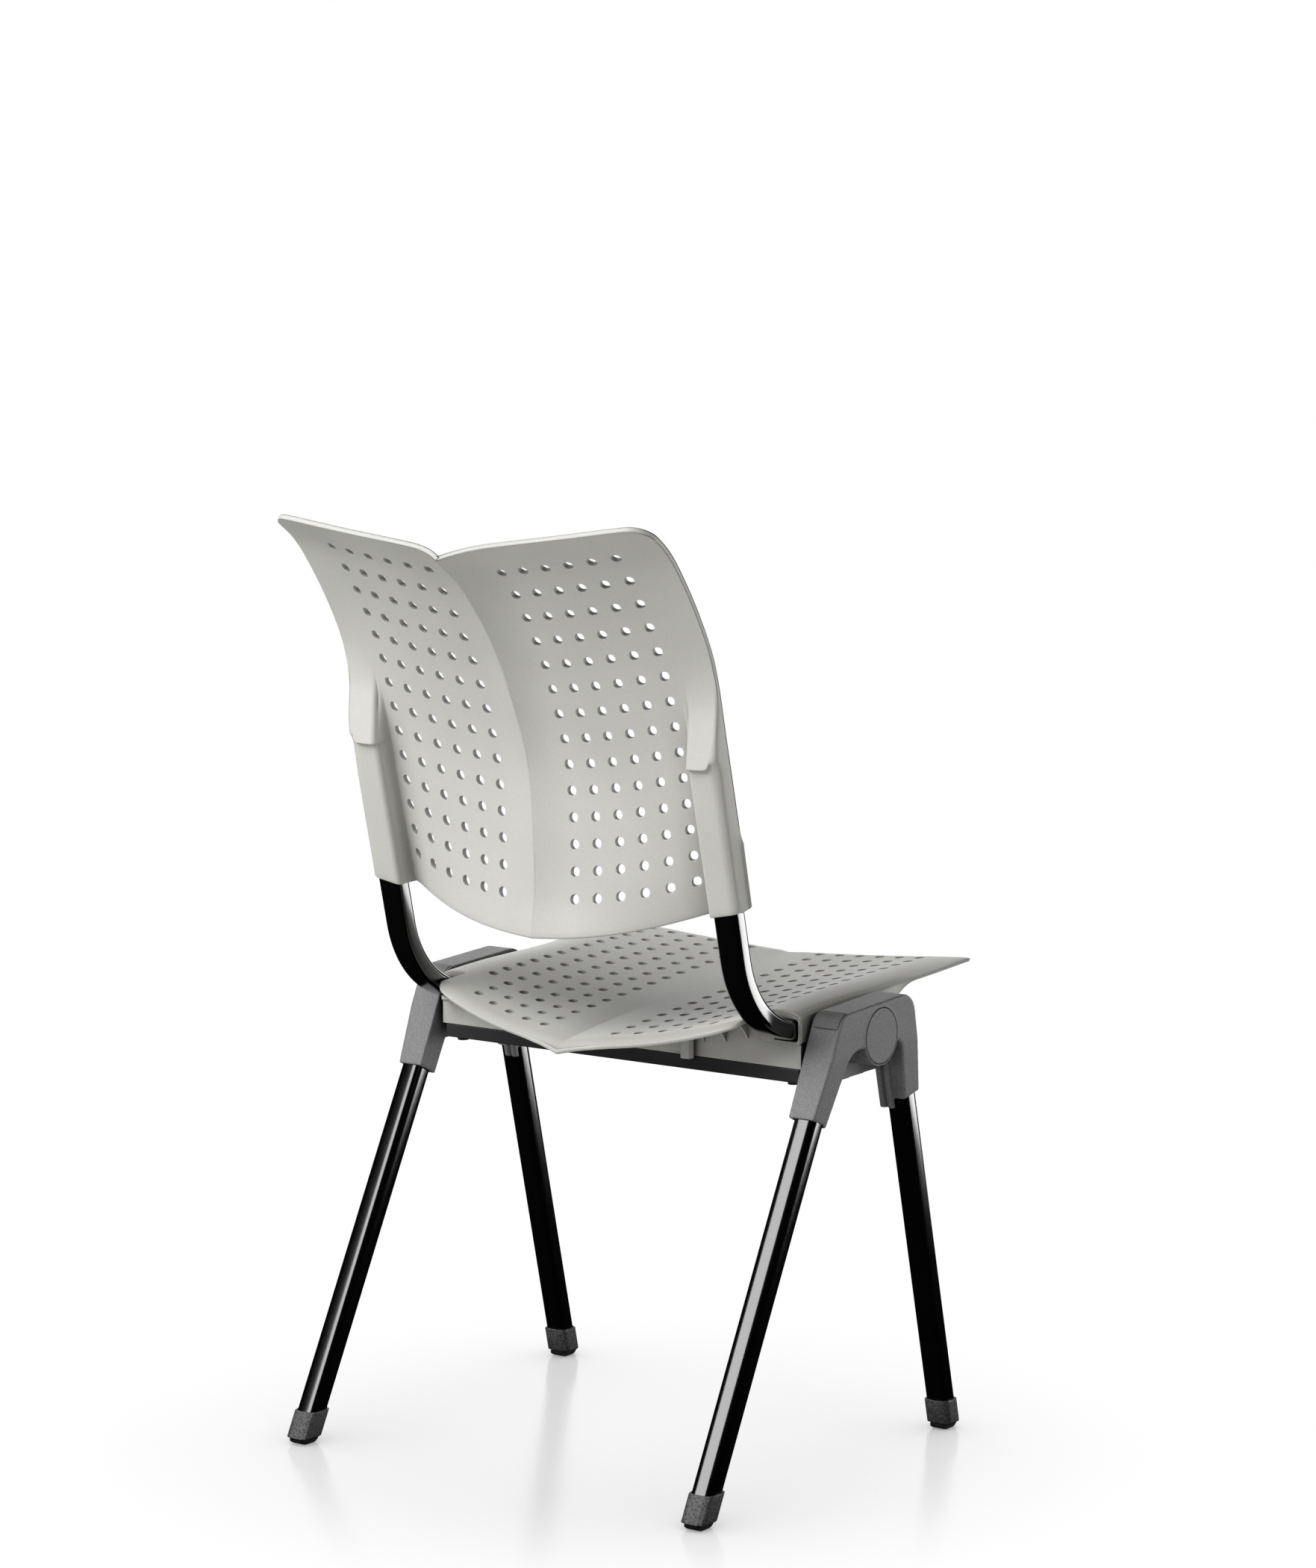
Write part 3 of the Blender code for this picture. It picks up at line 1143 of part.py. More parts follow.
def make_hub(side):
    """Side hub: rounded body, arch with its web, disc boss, bush bore and leg sleeves."""
    hub = plate("hub", rounded_outline(hub_corners()), side * HUB_INNER, side * HUB_OUTER)
    mesh = bmesh.new()
    mesh.from_mesh(hub.data)
    whole = mesh.verts[:] + mesh.edges[:] + mesh.faces[:]
    bend = Vector((0, 0, HUB_TAPER_HEIGHT))
    bmesh.ops.bisect_plane(mesh, geom=whole, plane_co=bend, plane_no=Vector((0, 0, 1)))
    for vert in mesh.verts:
        if abs(vert.co.x) > (HUB_INNER + HUB_OUTER) / 2 and vert.co.z < HUB_TAPER_HEIGHT:
            vert.co.x -= side * (HUB_TAPER_HEIGHT - vert.co.z) * HUB_TAPER
    mesh.to_mesh(hub.data)
    mesh.free()

    def outer_edge(edge):
        faces = [abs(face.normal.x) > 0.9 for face in edge.link_faces]
        away = all(abs(vert.co.x) > (HUB_INNER + HUB_OUTER) / 2 for vert in edge.verts)
        return faces.count(True) == 1 and away

    soften(hub, HUB_EDGE, 2, outer_edge)
    corners = hub_corners()
    web = [
        (leg_reach(False, AXIS_HEIGHT), ARCH_HEIGHT + HUB_EDGE),
        (leg_reach(False, WEB_REAR_HEIGHT), WEB_REAR_HEIGHT),
        (corners[4][0] / 2, WEB_REAR_HEIGHT),
        (leg_reach(True, WEB_FRONT_HEIGHT), WEB_FRONT_HEIGHT),
        (leg_reach(True, AXIS_HEIGHT), ARCH_HEIGHT + HUB_EDGE),
    ]
    inner = HUB_INNER + WEB_INSET
    join(hub, plate("web", web, side * inner, side * (inner + HUB_WEB)))
    axis, out = Vector((0, 0, AXIS_HEIGHT)), Vector((side, 0, 0))
    rim = DISC_RADIUS + DISC_RIM
    face = HUB_OUTER + DISC_RIM_PROUD
    join(hub, round_bar("boss", axis, rim, inner + WEB_INSET, face, out, DISC_FACETS))
    seat = DISC_RADIUS + FIT_GAP
    floor, over = HUB_OUTER - DISC_DEPTH, face + CUT_OVERRUN
    cut(hub, round_bar("recess", axis, seat, floor, over, out, DISC_FACETS))
    bore = SHAFT_RADIUS + BUSH_WALL + 2 * FIT_GAP
    start, stop = HUB_INNER - CUT_OVERRUN, HUB_OUTER - DISC_DEPTH / 2
    cut(hub, round_bar("bore", axis, bore, start, stop, out, SHAFT_FACETS))
    for front in (False, True):
        low = sleeve_frame(front)[1] - LEG_DEPTH
        high = sleeve_frame(front)[3] + FIT_GAP
        cut(hub, leg_solid("socket", side, front, low, high, FIT_GAP))
    for place in (0, 1):
        join(hub, make_lobe(side, place))
    outline, spread = stack_pad_outline(FIT_GAP)
    ends = [side * (place + grow) for place, grow in zip(spread, (-FIT_GAP, FIT_GAP))]
    cut(hub, plate("pad_seat", outline, *ends))
    return hub


def make_lobe(side, place):
    """Rounded rib down the rear of the front sleeve, a little longer than the sleeve."""
    lean = -FRONT_LEG_LEAN
    low = FRONT_SLEEVE_HEIGHT - LEG_DEPTH / 4 - LOBE_DROP
    high = ARCH_HEIGHT - ARCH_FRONT_RADIUS
    back = (LEG_DEPTH / 2 + 2 * FIT_GAP) / cos(lean) + LOBE_RADIUS
    width = LOBE_RADIUS * 2.3
    rings = []
    for height in (low, high):
        centre = Vector((
            side * (HUB_INNER + LOBE_RADIUS + FIT_GAP + place * width),
            leg_reach(True, height) + back,
            height,
        ))
        turns = [2 * pi * k / 12 for k in range(12)]
        rings.append([
            centre + Vector((cos(turn), sin(turn), 0)) * LOBE_RADIUS for turn in turns
        ])
    return loft("lobe", rings)


def stack_pad_outline(margin):
    """Side outline of the ribbed pad let into the hub's rear shoulder, and its width."""
    corners = hub_corners()
    centre, start, end = corner_arc(
        corners[0][:2], corners[1][:2], corners[2][:2], HUB_TOP_REAR_RADIUS
    )
    first = atan2(start.y - centre.y, start.x - centre.x) - STACK_PAD_START
    low = HUB_TOP_REAR_RADIUS - STACK_PAD_THICKNESS - margin
    spread = margin / HUB_TOP_REAR_RADIUS
    steps = 2 * STACK_PAD_RIB_COUNT
    outer = []
    for step in range(steps + 1):
        turn = first + spread - (STACK_PAD_END + 2 * spread) * step / steps
        crest = HUB_TOP_REAR_RADIUS + FIT_GAP * (1 if step % 2 else 0)
        crest = crest if not margin else HUB_TOP_REAR_RADIUS + CUT_OVERRUN
        outer.append((centre.x + crest * cos(turn), centre.y + crest * sin(turn)))
    inner = []
    for step in range(0, steps + 1, 2):
        turn = first + spread - (STACK_PAD_END + 2 * spread) * step / steps
        inner.append((centre.x + low * cos(turn), centre.y + low * sin(turn)))
    across = (HUB_INNER + STACK_PAD_MARGIN, HUB_OUTER - STACK_PAD_MARGIN)
    return outer + list(reversed(inner)), across


def make_stack_pad(side):
    """Ribbed pad on which the next chair rests when chairs are stacked."""
    outline, spread = stack_pad_outline(0)
    return plate("stack_pad", outline, side * spread[0], side * spread[1])


def make_pivot_cap(side):
    """Round cover disc over the end of the tilt shaft."""
    axis, out = Vector((0, 0, AXIS_HEIGHT)), Vector((side, 0, 0))
    start, end = HUB_OUTER - DISC_DEPTH + FIT_GAP, HUB_OUTER + DISC_PROUD
    cap = round_bar("pivot_cap", axis, DISC_RADIUS, start, end, out, DISC_FACETS)

    def rim(edge):
        flat = [abs(face.normal.x) > 0.9 for face in edge.link_faces]
        return flat.count(True) == 1 and all(abs(vert.co.x) > HUB_OUTER for vert in edge.verts)

    return soften(cap, DISC_PROUD, 1, rim)


def make_pivot_bush(side):
    """Bush in the hub that carries the tilt shaft and springs the seat back."""
    axis, out = Vector((0, 0, AXIS_HEIGHT)), Vector((side, 0, 0))
    radius = SHAFT_RADIUS + BUSH_WALL + FIT_GAP
    start, end = HUB_INNER + WEB_INSET, HUB_OUTER - DISC_DEPTH - FIT_GAP
    bush = round_bar("pivot_bush", axis, radius, start, end, out, SHAFT_FACETS)
    bore = SHAFT_RADIUS + FIT_GAP
    ends = (start - CUT_OVERRUN, end + CUT_OVERRUN)
    return cut(bush, round_bar("bore", axis, bore, *ends, out, SHAFT_FACETS))


# Legs and feet


def make_leg(side, front):
    """Straight leg tube from the hub sleeve down into its foot."""
    low, high = FOOT_BOTTOM + FOOT_FLOOR + FIT_GAP, sleeve_frame(front)[3]
    outer = leg_rings(side, front, low, high, 0)
    inner = leg_rings(side, front, low, high, -TUBE_WALL)
    return hollow_loft("leg", outer, inner)


def make_foot(side, front):
    """Foot boot with a blind pocket for the leg's end."""
    foot = leg_solid("foot", side, front, FOOT_BOTTOM, FOOT_TOP, FOOT_WALL)
    low, high = FOOT_BOTTOM + FOOT_FLOOR, FOOT_TOP + CUT_OVERRUN
    return cut(foot, leg_solid("pocket", side, front, low, high, FIT_GAP))


def make_sole(side, front):
    """Rocker sole under a foot, flat where it stands on the floor."""
    centre = leg_reach(front, FOOT_BOTTOM)
    top = FOOT_BOTTOM - FIT_GAP
    half, flat = SOLE_LENGTH / 2, SOLE_FLAT / 2
    lift = top - SOLE_THICKNESS * 0.5
    lower = []
    for step in range(SOLE_STEPS + 1):
        share = step / SOLE_STEPS
        lower.append((centre + flat + (half - flat) * share, lift * share * share))
    mirrored = [(2 * centre - reach, height) for reach, height in reversed(lower)]
    outline = mirrored + lower + [(centre + half, top), (centre - half, top)]
    middle = side * LEG_OFFSET
    return plate("sole", outline, middle - SOLE_WIDTH / 2, middle + SOLE_WIDTH / 2)


# Finishes


def make_material(name, colour, roughness, metallic):
    """Plain material with one colour."""
    material = bpy.data.materials.new(name)
    material.use_nodes = True
    shader = material.node_tree.nodes["Principled BSDF"]
    shader.inputs["Base Color"].default_value = (*colour, 1.0)
    shader.inputs["Roughness"].default_value = roughness
    shader.inputs["Metallic"].default_value = metallic
    return material


def make_materials():
    """Finishes of the chair by name."""
    finishes = {
        "shell_plastic": ((0.60, 0.60, 0.57), 0.60, 0.0),
        "hub_plastic": ((0.13, 0.13, 0.13), 0.55, 0.0),
        "black_enamel": ((0.012, 0.012, 0.013), 0.12, 0.0),
        "carrier_steel": ((0.035, 0.035, 0.037), 0.45, 0.0),
        "arm_alloy": ((0.050, 0.050, 0.052), 0.50, 0.0),
        "shaft_steel": ((0.55, 0.55, 0.56), 0.30, 1.0),
        "screw_steel": ((0.10, 0.10, 0.11), 0.35, 1.0),
        "bush_rubber": ((0.03, 0.03, 0.03), 0.80, 0.0),
        "foot_plastic": ((0.06, 0.06, 0.06), 0.60, 0.0),
        "sole_rubber": ((0.02, 0.02, 0.02), 0.75, 0.0),
    }
    return {name: make_material(name, *values) for name, values in finishes.items()}


# Assembly


def clear_scene():
    """Start from an empty scene."""
    for thing in list(bpy.data.objects):
        bpy.data.objects.remove(thing)


def make_empty(name, place, parent):
    """Empty that carries a group of pieces."""
    empty = bpy.data.objects.new(name, None)
    bpy.context.scene.collection.objects.link(empty)
    empty.parent = parent
    empty.location = place
    return empty


def settle(thing, name, material, parent, height, sharp=35):
    """Name a finished piece, give it its material and hang it on its parent."""
    thing.name = name
    thing.data.name = name
    thing.data.transform(Matrix.Translation((0, 0, -height)))
    thing.data.materials.clear()
    thing.data.materials.append(material)
    thing.data.shade_smooth()
    thing.data.set_sharp_from_angle(angle=radians(sharp))
    thing.parent = parent
    thing.location = (0, 0, 0)
    return thing


def build_chair():
    """Build every piece and hang it on the frame or on the tilting carrier."""
    clear_scene()
    finish = make_materials()
    frame = make_empty("chair_frame", (0, -CENTRING_SHIFT, 0), None)
    tilt = make_empty("seat_tilt_axis", (0, 0, AXIS_HEIGHT), frame)

    def fixed(thing, name, material):
        settle(thing, name, finish[material], frame, 0)

    def tilting(thing, name, material):
        settle(thing, name, finish[material], tilt, AXIS_HEIGHT)

    for side, word in ((-1, "right"), (1, "left")):
        fixed(make_hub(side), f"hub_{word}", "hub_plastic")
        fixed(make_pivot_cap(side), f"pivot_cap_{word}", "hub_plastic")
        fixed(make_pivot_bush(side), f"pivot_bush_{word}", "bush_rubber")
        fixed(make_stack_pad(side), f"stack_pad_{word}", "hub_plastic")
        for front, place in ((True, "front"), (False, "rear")):
            fixed(make_leg(side, front), f"leg_{place}_{word}", "black_enamel")
            fixed(make_foot(side, front), f"foot_{place}_{word}", "foot_plastic")
            fixed(make_sole(side, front), f"sole_{place}_{word}", "sole_rubber")
        tilting(make_upright(side), f"upright_{word}", "black_enamel")
        tilting(make_pivot_arm(side), f"pivot_arm_{word}", "arm_alloy")
        tilting(make_pivot_shaft(side), f"pivot_shaft_{word}", "shaft_steel")
    tilting(make_back_shell(), "back_shell", "shell_plastic")
    tilting(make_seat_shell(), "seat_shell", "shell_plastic")
    tilting(make_rear_housing(), "rear_housing", "shell_plastic")
    tilting(make_cross_bar(), "cross_bar", "carrier_steel")
    low = Vector((0, 0, BAR_TOP_HEIGHT - BAR_THICKNESS))
    words = ("right_front", "right_rear", "left_front", "left_rear")
    for word, place in zip(words, bar_screw_places()):
        screw = make_screw(
            place + low, BAR_SCREW_RADIUS, BAR_SCREW_LENGTH, BAR_SCREW_HEAD_RADIUS,
            BAR_SCREW_HEAD,
        )
        tilting(screw, f"bar_screw_{word}", "screw_steel")
    length = underside([BOSS_OFFSET], [BOSS_REACH]) + BOSS_SCREW_BITE - BOSS_BOTTOM_HEIGHT
    for side, word in ((-1, "right"), (1, "left")):
        place = Vector((side * BOSS_OFFSET, BOSS_REACH, BOSS_BOTTOM_HEIGHT))
        screw = make_screw(
            place, BOSS_SCREW_RADIUS, length, BOSS_SCREW_HEAD_RADIUS, BOSS_SCREW_HEAD
        )
        tilting(screw, f"housing_screw_{word}", "screw_steel")


if __name__ == "__main__":
    build_chair()
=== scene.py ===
import json
from math import cos, pi, radians, sin, sqrt, tan

import bpy
from bpy.props import FloatProperty, FloatVectorProperty, IntProperty, PointerProperty
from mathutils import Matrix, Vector


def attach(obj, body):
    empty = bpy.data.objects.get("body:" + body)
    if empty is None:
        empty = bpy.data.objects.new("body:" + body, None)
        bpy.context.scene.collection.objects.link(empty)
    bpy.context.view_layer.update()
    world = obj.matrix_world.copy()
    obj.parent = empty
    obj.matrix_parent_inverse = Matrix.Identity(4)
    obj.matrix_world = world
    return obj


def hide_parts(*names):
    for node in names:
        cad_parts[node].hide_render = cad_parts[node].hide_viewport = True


bl_info = {
    "name": "Conference chair",
    "version": (1, 0, 0),
    "blender": (4, 5, 0),
    "location": "View3D > Sidebar > Chair",
    "description": "Finishes a stacking conference chair over its packed frame",
    "category": "Add Mesh",
}

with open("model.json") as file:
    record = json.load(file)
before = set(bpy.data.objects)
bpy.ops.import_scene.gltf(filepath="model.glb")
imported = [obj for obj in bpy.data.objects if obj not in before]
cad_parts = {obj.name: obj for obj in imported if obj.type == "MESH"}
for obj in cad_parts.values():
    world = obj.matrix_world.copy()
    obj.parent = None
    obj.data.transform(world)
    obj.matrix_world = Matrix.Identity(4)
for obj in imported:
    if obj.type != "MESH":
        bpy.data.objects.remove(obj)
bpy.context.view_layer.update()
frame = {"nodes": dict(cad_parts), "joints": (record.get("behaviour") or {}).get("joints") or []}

BASE = "base"
TILTING = "seat_unit"
SIDES = ((-1, "right"), (1, "left"))

# The tilt axis; reach is counted rearward from it
AXIS = Vector(frame["joints"][0]["pos_m"])

# Perforation; the shares are of a hole's cell
FIRST_COLUMN = 0.0411
COLUMN_PITCH = 0.02375
HOLE_COLUMNS = 6
HOLE_CELL = 0.0076
OPEN_SHARE = 0.6
INSET_SHARE = 0.25
NEAR_SHARE = 0.95
CURVE_GAIN = 1.075

# The flat sheet that each shell starts as, and the step that measures a slope
SHEET_WALL = 0.001
CREASE_LINES = (0.0025, 0.011, 0.022)
CREASE_ROUNDING = 0.7
FLAT = 0.00001
PROBE = 0.0005

# Back shell
BACK_HALF_WIDTH = 0.2095
BACK_WALL = 0.005
BACK_BASE_REACH = 0.160
BACK_RAKE = 0.176
BACK_BASE_HEIGHT = 0.492
BACK_HEIGHT = 0.384
BACK_ROWS = 14
BACK_CORNER_RADIUS = 0.018
BACK_EDGE_FADE_ROW = -0.55
BACK_EDGE_SIDES = (0.0, 0.007, 0.013, 0.028, 0.045, 0.080, BACK_HALF_WIDTH)
BACK_EDGE_ROWS = (-0.80, -0.90, -1.00, -1.14, -1.21, -1.25, -1.28)
BACK_STATION_SHARES = (0.0, 0.382, 0.764, 1.0)
BACK_TOP_ROW = -1.5
BACK_RIM_LINE = 0.004
BACK_PLAIN_ROW = -0.75
BACK_CORNER_ROWS = 1.1
BACK_BOTTOM_ROW = 14.4
BACK_KNOT_ROWS = (BACK_TOP_ROW, 0, 1, 3, 5, 8, 11, 13, BACK_BOTTOM_ROW)
BACK_REACH_SHARES = (
    (0.998, 0.757, 0.640, 0.482, 0.352, 0.232, 0.195, 0.190, 0.227),
    (0.977, 0.769, 0.661, 0.493, 0.362, 0.223, 0.165, 0.160, 0.171),
    (0.952, 0.727, 0.619, 0.455, 0.330, 0.206, 0.114, 0.053, 0.013),
    (0.915, 0.725, 0.616, 0.447, 0.319, 0.222, 0.130, 0.071, 0.021),
)
BACK_HEIGHT_SHARES = (
    (0.939, 0.866, 0.814, 0.704, 0.590, 0.412, 0.223, 0.095, 0.001),
    (0.960, 0.888, 0.835, 0.724, 0.609, 0.429, 0.240, 0.111, 0.022),
    (0.984, 0.919, 0.866, 0.757, 0.643, 0.465, 0.283, 0.160, 0.077),
    (0.997, 0.942, 0.891, 0.783, 0.672, 0.497, 0.323, 0.206, 0.104),
)

# The fold stands out along the crease, most at the top
BACK_FOLD_WIDTH = 0.038
BACK_FOLD_DEPTHS = (0.0210, 0.0207, 0.0196, 0.0135, 0.0125, 0.0065, 0.0055, 0.0055, 0.0040)

# Uprights and the sleeves that hold them
UPRIGHT_WIDTH = 0.025
UPRIGHT_DEPTH = 0.018
UPRIGHT_OFFSET = 0.1925
UPRIGHT_LEAN = radians(13.4)
UPRIGHT_ENTRY_SLOPE = radians(11.5)
UPRIGHT_BEND_RADIUS = 0.096
UPRIGHT_BEND_REACH = 0.1418
UPRIGHT_BEND_HEIGHT = 0.424
UPRIGHT_TOP_HEIGHT = 0.672
UPRIGHT_TAIL_REACH = 0.030
SLEEVE_FACE = 0.0109
SLEEVE_INNER = 0.1767
SLEEVE_EDGE = 0.0090
SLEEVE_INNER_EDGE = 0.0050
SLEEVE_FILLET = 0.0045
SLEEVE_FIRST_ROW = 4.3
SLEEVE_BLEND = 0.002
EDGE_TURN = 0.93
SLEEVE_LINES = (
    0.1722, 0.1745, SLEEVE_INNER, 0.1790, 0.1850, 0.1915, 0.1965, 0.2010, 0.2045, 0.2070, 0.2086,
)

# Finger pads on the sleeves
PAD_ROW = 8.635
PAD_ROW_STEPS = (-0.15, -0.10, -0.05, 0.0)
PAD_LEAN_ROWS = 3
PAD_BOTTOM_HEIGHT = 0.6646
PAD_FADE = 0.327
PAD_STEP = 0.0032
PAD_STEP_RUN = 0.0035
PAD_TILT = 0.25
PAD_MIDDLE = 0.193
PAD_HALF_WIDTH = 0.0165
PAD_CROWN = 0.003
PAD_CROWN_START = 0.055
PAD_CROWN_RUN = 0.035
PAD_BLEND = 0.14
PAD_BLEND_START = 0.030
PAD_EDGE = 0.0040
PAD_EDGE_SPREAD = 0.0070
PAD_SPREAD_RUN = 0.036
PAD_CORNER = 0.006

# Seat shell
SEAT_HALF_WIDTH = 0.203
SEAT_WALL = 0.0045
SEAT_REAR_REACH = 0.1636
SEAT_FRONT_REACH = -0.2195
SEAT_CORNER_REACH = 0.0770
SEAT_BASE_HEIGHT = 0.385
SEAT_DISH = 0.060
SEAT_ROWS = 15
SEAT_FIRST_ROW = 0.1327
SEAT_ROW_PITCH = 0.02404
SEAT_ROW_BOW = 0.052
SEAT_BOW_ROWS = 12.08
SEAT_OPEN_ROWS = 2
SEAT_REAR_LINES = (-1.29, -1.1, -0.7)
SEAT_FRONT_LINES = (14.55, 14.65)
FIRST_HOLE_LINE, CORNER_LINE, LAST_HOLE_LINE = 3, 5, -3
SEAT_STATION_SHARES = (0.0, 0.394, 0.788, 1.0)
SEAT_KNOT_SHARES = (0.0, 0.112, 0.230, 0.373, 0.582, 0.791, 1.0)
SEAT_HEIGHT_SHARES = (
    (0.162, 0.239, 0.314, 0.401, 0.518, 0.628, 0.732),
    (0.251, 0.322, 0.393, 0.475, 0.588, 0.697, 0.803),
    (0.539, 0.603, 0.662, 0.725, 0.798, 0.853, 0.894),
    (0.564, 0.628, 0.702, 0.765, 0.803, 0.867, 0.950),
)
TONGUE_HALF_WIDTH = 0.177
TONGUE_SWEEP = 0.0365
TONGUE_STRAIGHT_SHARE = 0.7
TONGUE_CORNER_RADIUS = 0.012
TONGUE_CORNER_LINE = 0.1725
TONGUE_BLEND_START = 0.168
SEAT_PLAIN_LINE = 0.1865
REAR_LIP_DROP = 0.005
REAR_LIP_REACH = 0.014
FRONT_LIP_DROP = 0.003
FRONT_LIP_REACH = 0.016
CREASE_LIP_WIDTH = 0.014
SEAT_EDGE_NOTCH = 0.006
SEAT_FOLD = 0.0042
SEAT_FOLD_WIDTH = 0.040
SEAT_FOLD_RUN = 0.16
TONGUE_BEAK = 0.0045
TONGUE_BEAK_WIDTH = 0.050

# Rolled sides of the seat
SKIRT_START = 0.196
SKIRT_REACH = 0.0135
SKIRT_SPAN = 0.032
SKIRT_LINES = 10
SKIRT_PROBE = 0.0015
SKIRT_END_SHARE = 0.94
SKIRT_WALL = 0.0025
SKIRT_DEPTH = 0.0278
SKIRT_EDGE_DEPTH = 0.0012
SKIRT_KNOT_SHARES = (0.0, 0.25, 0.5, 0.75, 1.0)
SKIRT_SIDE_SHARES = (0.0, 0.42, 0.78, 0.95, 1.0)
SKIRT_DROP_SHARES = (0.0, 0.02, 0.10, 0.28, 1.0)
SKIRT_FADE_START = -0.040
SKIRT_FADE_END = -0.118
FRONT_CORNER_RADIUS = 0.012

# Walls of the seat's rear corners, with the sockets of the uprights
CORNER_WALL = 0.0035
CORNER_REAR_REACH = 0.0775
CORNER_INNER = 0.166
CORNER_OUTER = 0.2081
CORNER_ROOF_END = 0.2075
CORNER_ROOF_GAP = 0.0022
CORNER_LINES = (0.172, 0.1855, 0.1995)
CORNER_BOTTOM_HEIGHT = 0.3983
CORNER_ROLL_SHARE = 0.62
CORNER_ROUNDING = 0.0007
SOCKET_MARGIN = 0.0012
SOCKET_CORNER = 0.003
SOCKET_SLACK = 0.0001

# Tubes; a leg is its reach, height, lean and top
TUBE_POINTS = 56
BEND_STEPS = 20
UPRIGHT_CROWN = 5.0
LEG_CROWN = 4.0
LEG_OFFSET = 0.2282
LEG_WIDTH = 0.0225
LEG_DEPTH = 0.0205
LEG_BOTTOM = 0.0115
FRONT_LEG = (-0.0603, 0.3350, -radians(13.45), 0.374)
REAR_LEG = (0.0927, 0.3317, radians(27.3), 0.384)

# Angles in degrees: facets that join, edges that are rounded and edges that stay sharp
FACET_ANGLE = 1
EDGE_ANGLE = 30
SHARP_ANGLE = 40
SHELL_SHARP_ANGLE = 32
CORNER_ANGLE = 35
NO_SHARP_ANGLE = 180

# Grain, smoothing passes and edge widths of the copied solids
HUB_GRAIN = 0.0009
HUB_PASSES = 5
FOOT_GRAIN = 0.0007
FOOT_PASSES = 4
GRIP_EDGE = 0.0001
FINE_EDGE = 0.0002
CAP_EDGE = 0.0003
HOUSING_EDGE = 0.0004
SOLE_EDGE = 0.0005
BAR_EDGE = 0.0005
ARM_EDGE = 0.0008

# Finishes
MOTTLE_SHARE = 0.10
# Reach of the painted shade that darkens the plastics' colour in recesses, creases and gaps
PAINTED_SHADE_REACH = 0.03
GLOSS_SPREAD = 0.06
ENAMEL_COAT_ROUGHNESS = 0.13

# Camera at the photograph's place
CAMERA_PLACE = Vector((-2.19835, 2.95331, 1.04395))
CAMERA_AZIMUTH = radians(216.21829)
CAMERA_ELEVATION = radians(6.58217)
CAMERA_SENSOR = 36.0
CAMERA_FOCUS_PIXELS = 5343.764
IMAGE_HEIGHT_PIXELS = 2100

# Lamps: azimuth and elevation in degrees, width, height, and distance from their aim
LAMP_AIM = Vector((0, 0, 0.5))
KEY_LAMP = (60, 37, 2.0, 2.0, 3.2)
FILL_LAMP = (86, 44, 2.0, 2.0, 3.2)
SHEEN_LAMP = (60, 36, 1.2, 2.4, 2.9)
STRIP_LAMP = (235, 2, 1.0, 1.8, 3.2)
BACK_LAMP = (306, 8, 1.8, 1.8, 3.2)

# Floor: its radius, where its shading gives way to white and where its bounce is full
FLOOR_RADIUS = 14
FLOOR_POINTS = 96
FLOOR_SHADE_REACH = 0.25
FLOOR_NEAR = 0.20
FLOOR_WHITE_FROM = 0.52
FLOOR_BOUNCE_FROM = 0.90
FLOOR_NEAR_BOUNCE = 0.3


class ShellSettings(bpy.types.PropertyGroup):
    """Sizes of the perforated shells that a maker would change."""

    hole_diameter: FloatProperty(
        name="Hole", description="Diameter of the holes", default=0.0094,
        subtype="DISTANCE", unit="LENGTH",
    )
    rim_rounding: FloatProperty(
        name="Rim", description="Rounding of the outer rims", default=0.0017,
        subtype="DISTANCE", unit="LENGTH",
    )
    hole_rounding: FloatProperty(
        name="Hole edge", description="Rounding of the hole edges", default=0.0005,
        subtype="DISTANCE", unit="LENGTH",
    )
    smoothness: IntProperty(
        name="Smoothness", description="Subdivision levels of the shells", default=2,
        min=1, max=3,
    )


class FinishSettings(bpy.types.PropertyGroup):
    """Colours of the finishes."""

    shell: FloatVectorProperty(
        name="Shell", description="Seat and back plastic", default=(0.600, 0.595, 0.560),
        subtype="COLOR",
    )
    hub: FloatVectorProperty(
        name="Hub", description="Grained hub plastic", default=(0.215, 0.215, 0.215),
        subtype="COLOR",
    )
    enamel: FloatVectorProperty(
        name="Enamel", description="Gloss black on the tubes", default=(0.0015, 0.0015, 0.0016),
        subtype="COLOR",
    )
    carrier: FloatVectorProperty(
        name="Carrier", description="Powder coat under the seat", default=(0.035, 0.035, 0.036),
        subtype="COLOR",
    )
    foot: FloatVectorProperty(
        name="Foot", description="Boot plastic", default=(0.088, 0.088, 0.088), subtype="COLOR",
    )
    sole: FloatVectorProperty(
        name="Sole", description="Sole rubber", default=(0.012, 0.012, 0.012), subtype="COLOR",
    )
    steel: FloatVectorProperty(
        name="Steel", description="Shafts and screws", default=(0.45, 0.45, 0.46), subtype="COLOR",
    )


class StageSettings(bpy.types.PropertyGroup):
    """Light and floor."""

    key_power: FloatProperty(
        name="Key", description="Power of the large soft light", default=76.0, unit="POWER",
    )
    sheen_power: FloatProperty(
        name="Sheen", description="Power of the panel that glossy faces mirror", default=54.0,
        unit="POWER",
    )
    strip_power: FloatProperty(
        name="Strip", description="Power of the strip that edges the tubes", default=38.0,
        unit="POWER",
    )
    fill_power: FloatProperty(
        name="Fill", description="Power of the high fill light", default=44.0, unit="POWER",
    )
    back_power: FloatProperty(
        name="Back", description="Power of the light behind the chair", default=27.0,
        unit="POWER",
    )
    bounce: FloatProperty(
        name="Bounce", description="Light that the floor sends back up", default=0.78,
    )
    floor_glow: FloatProperty(
        name="Floor glow", description="Share of the floor that shadows leave light", default=0.71,
    )


# Shapes of the two shells


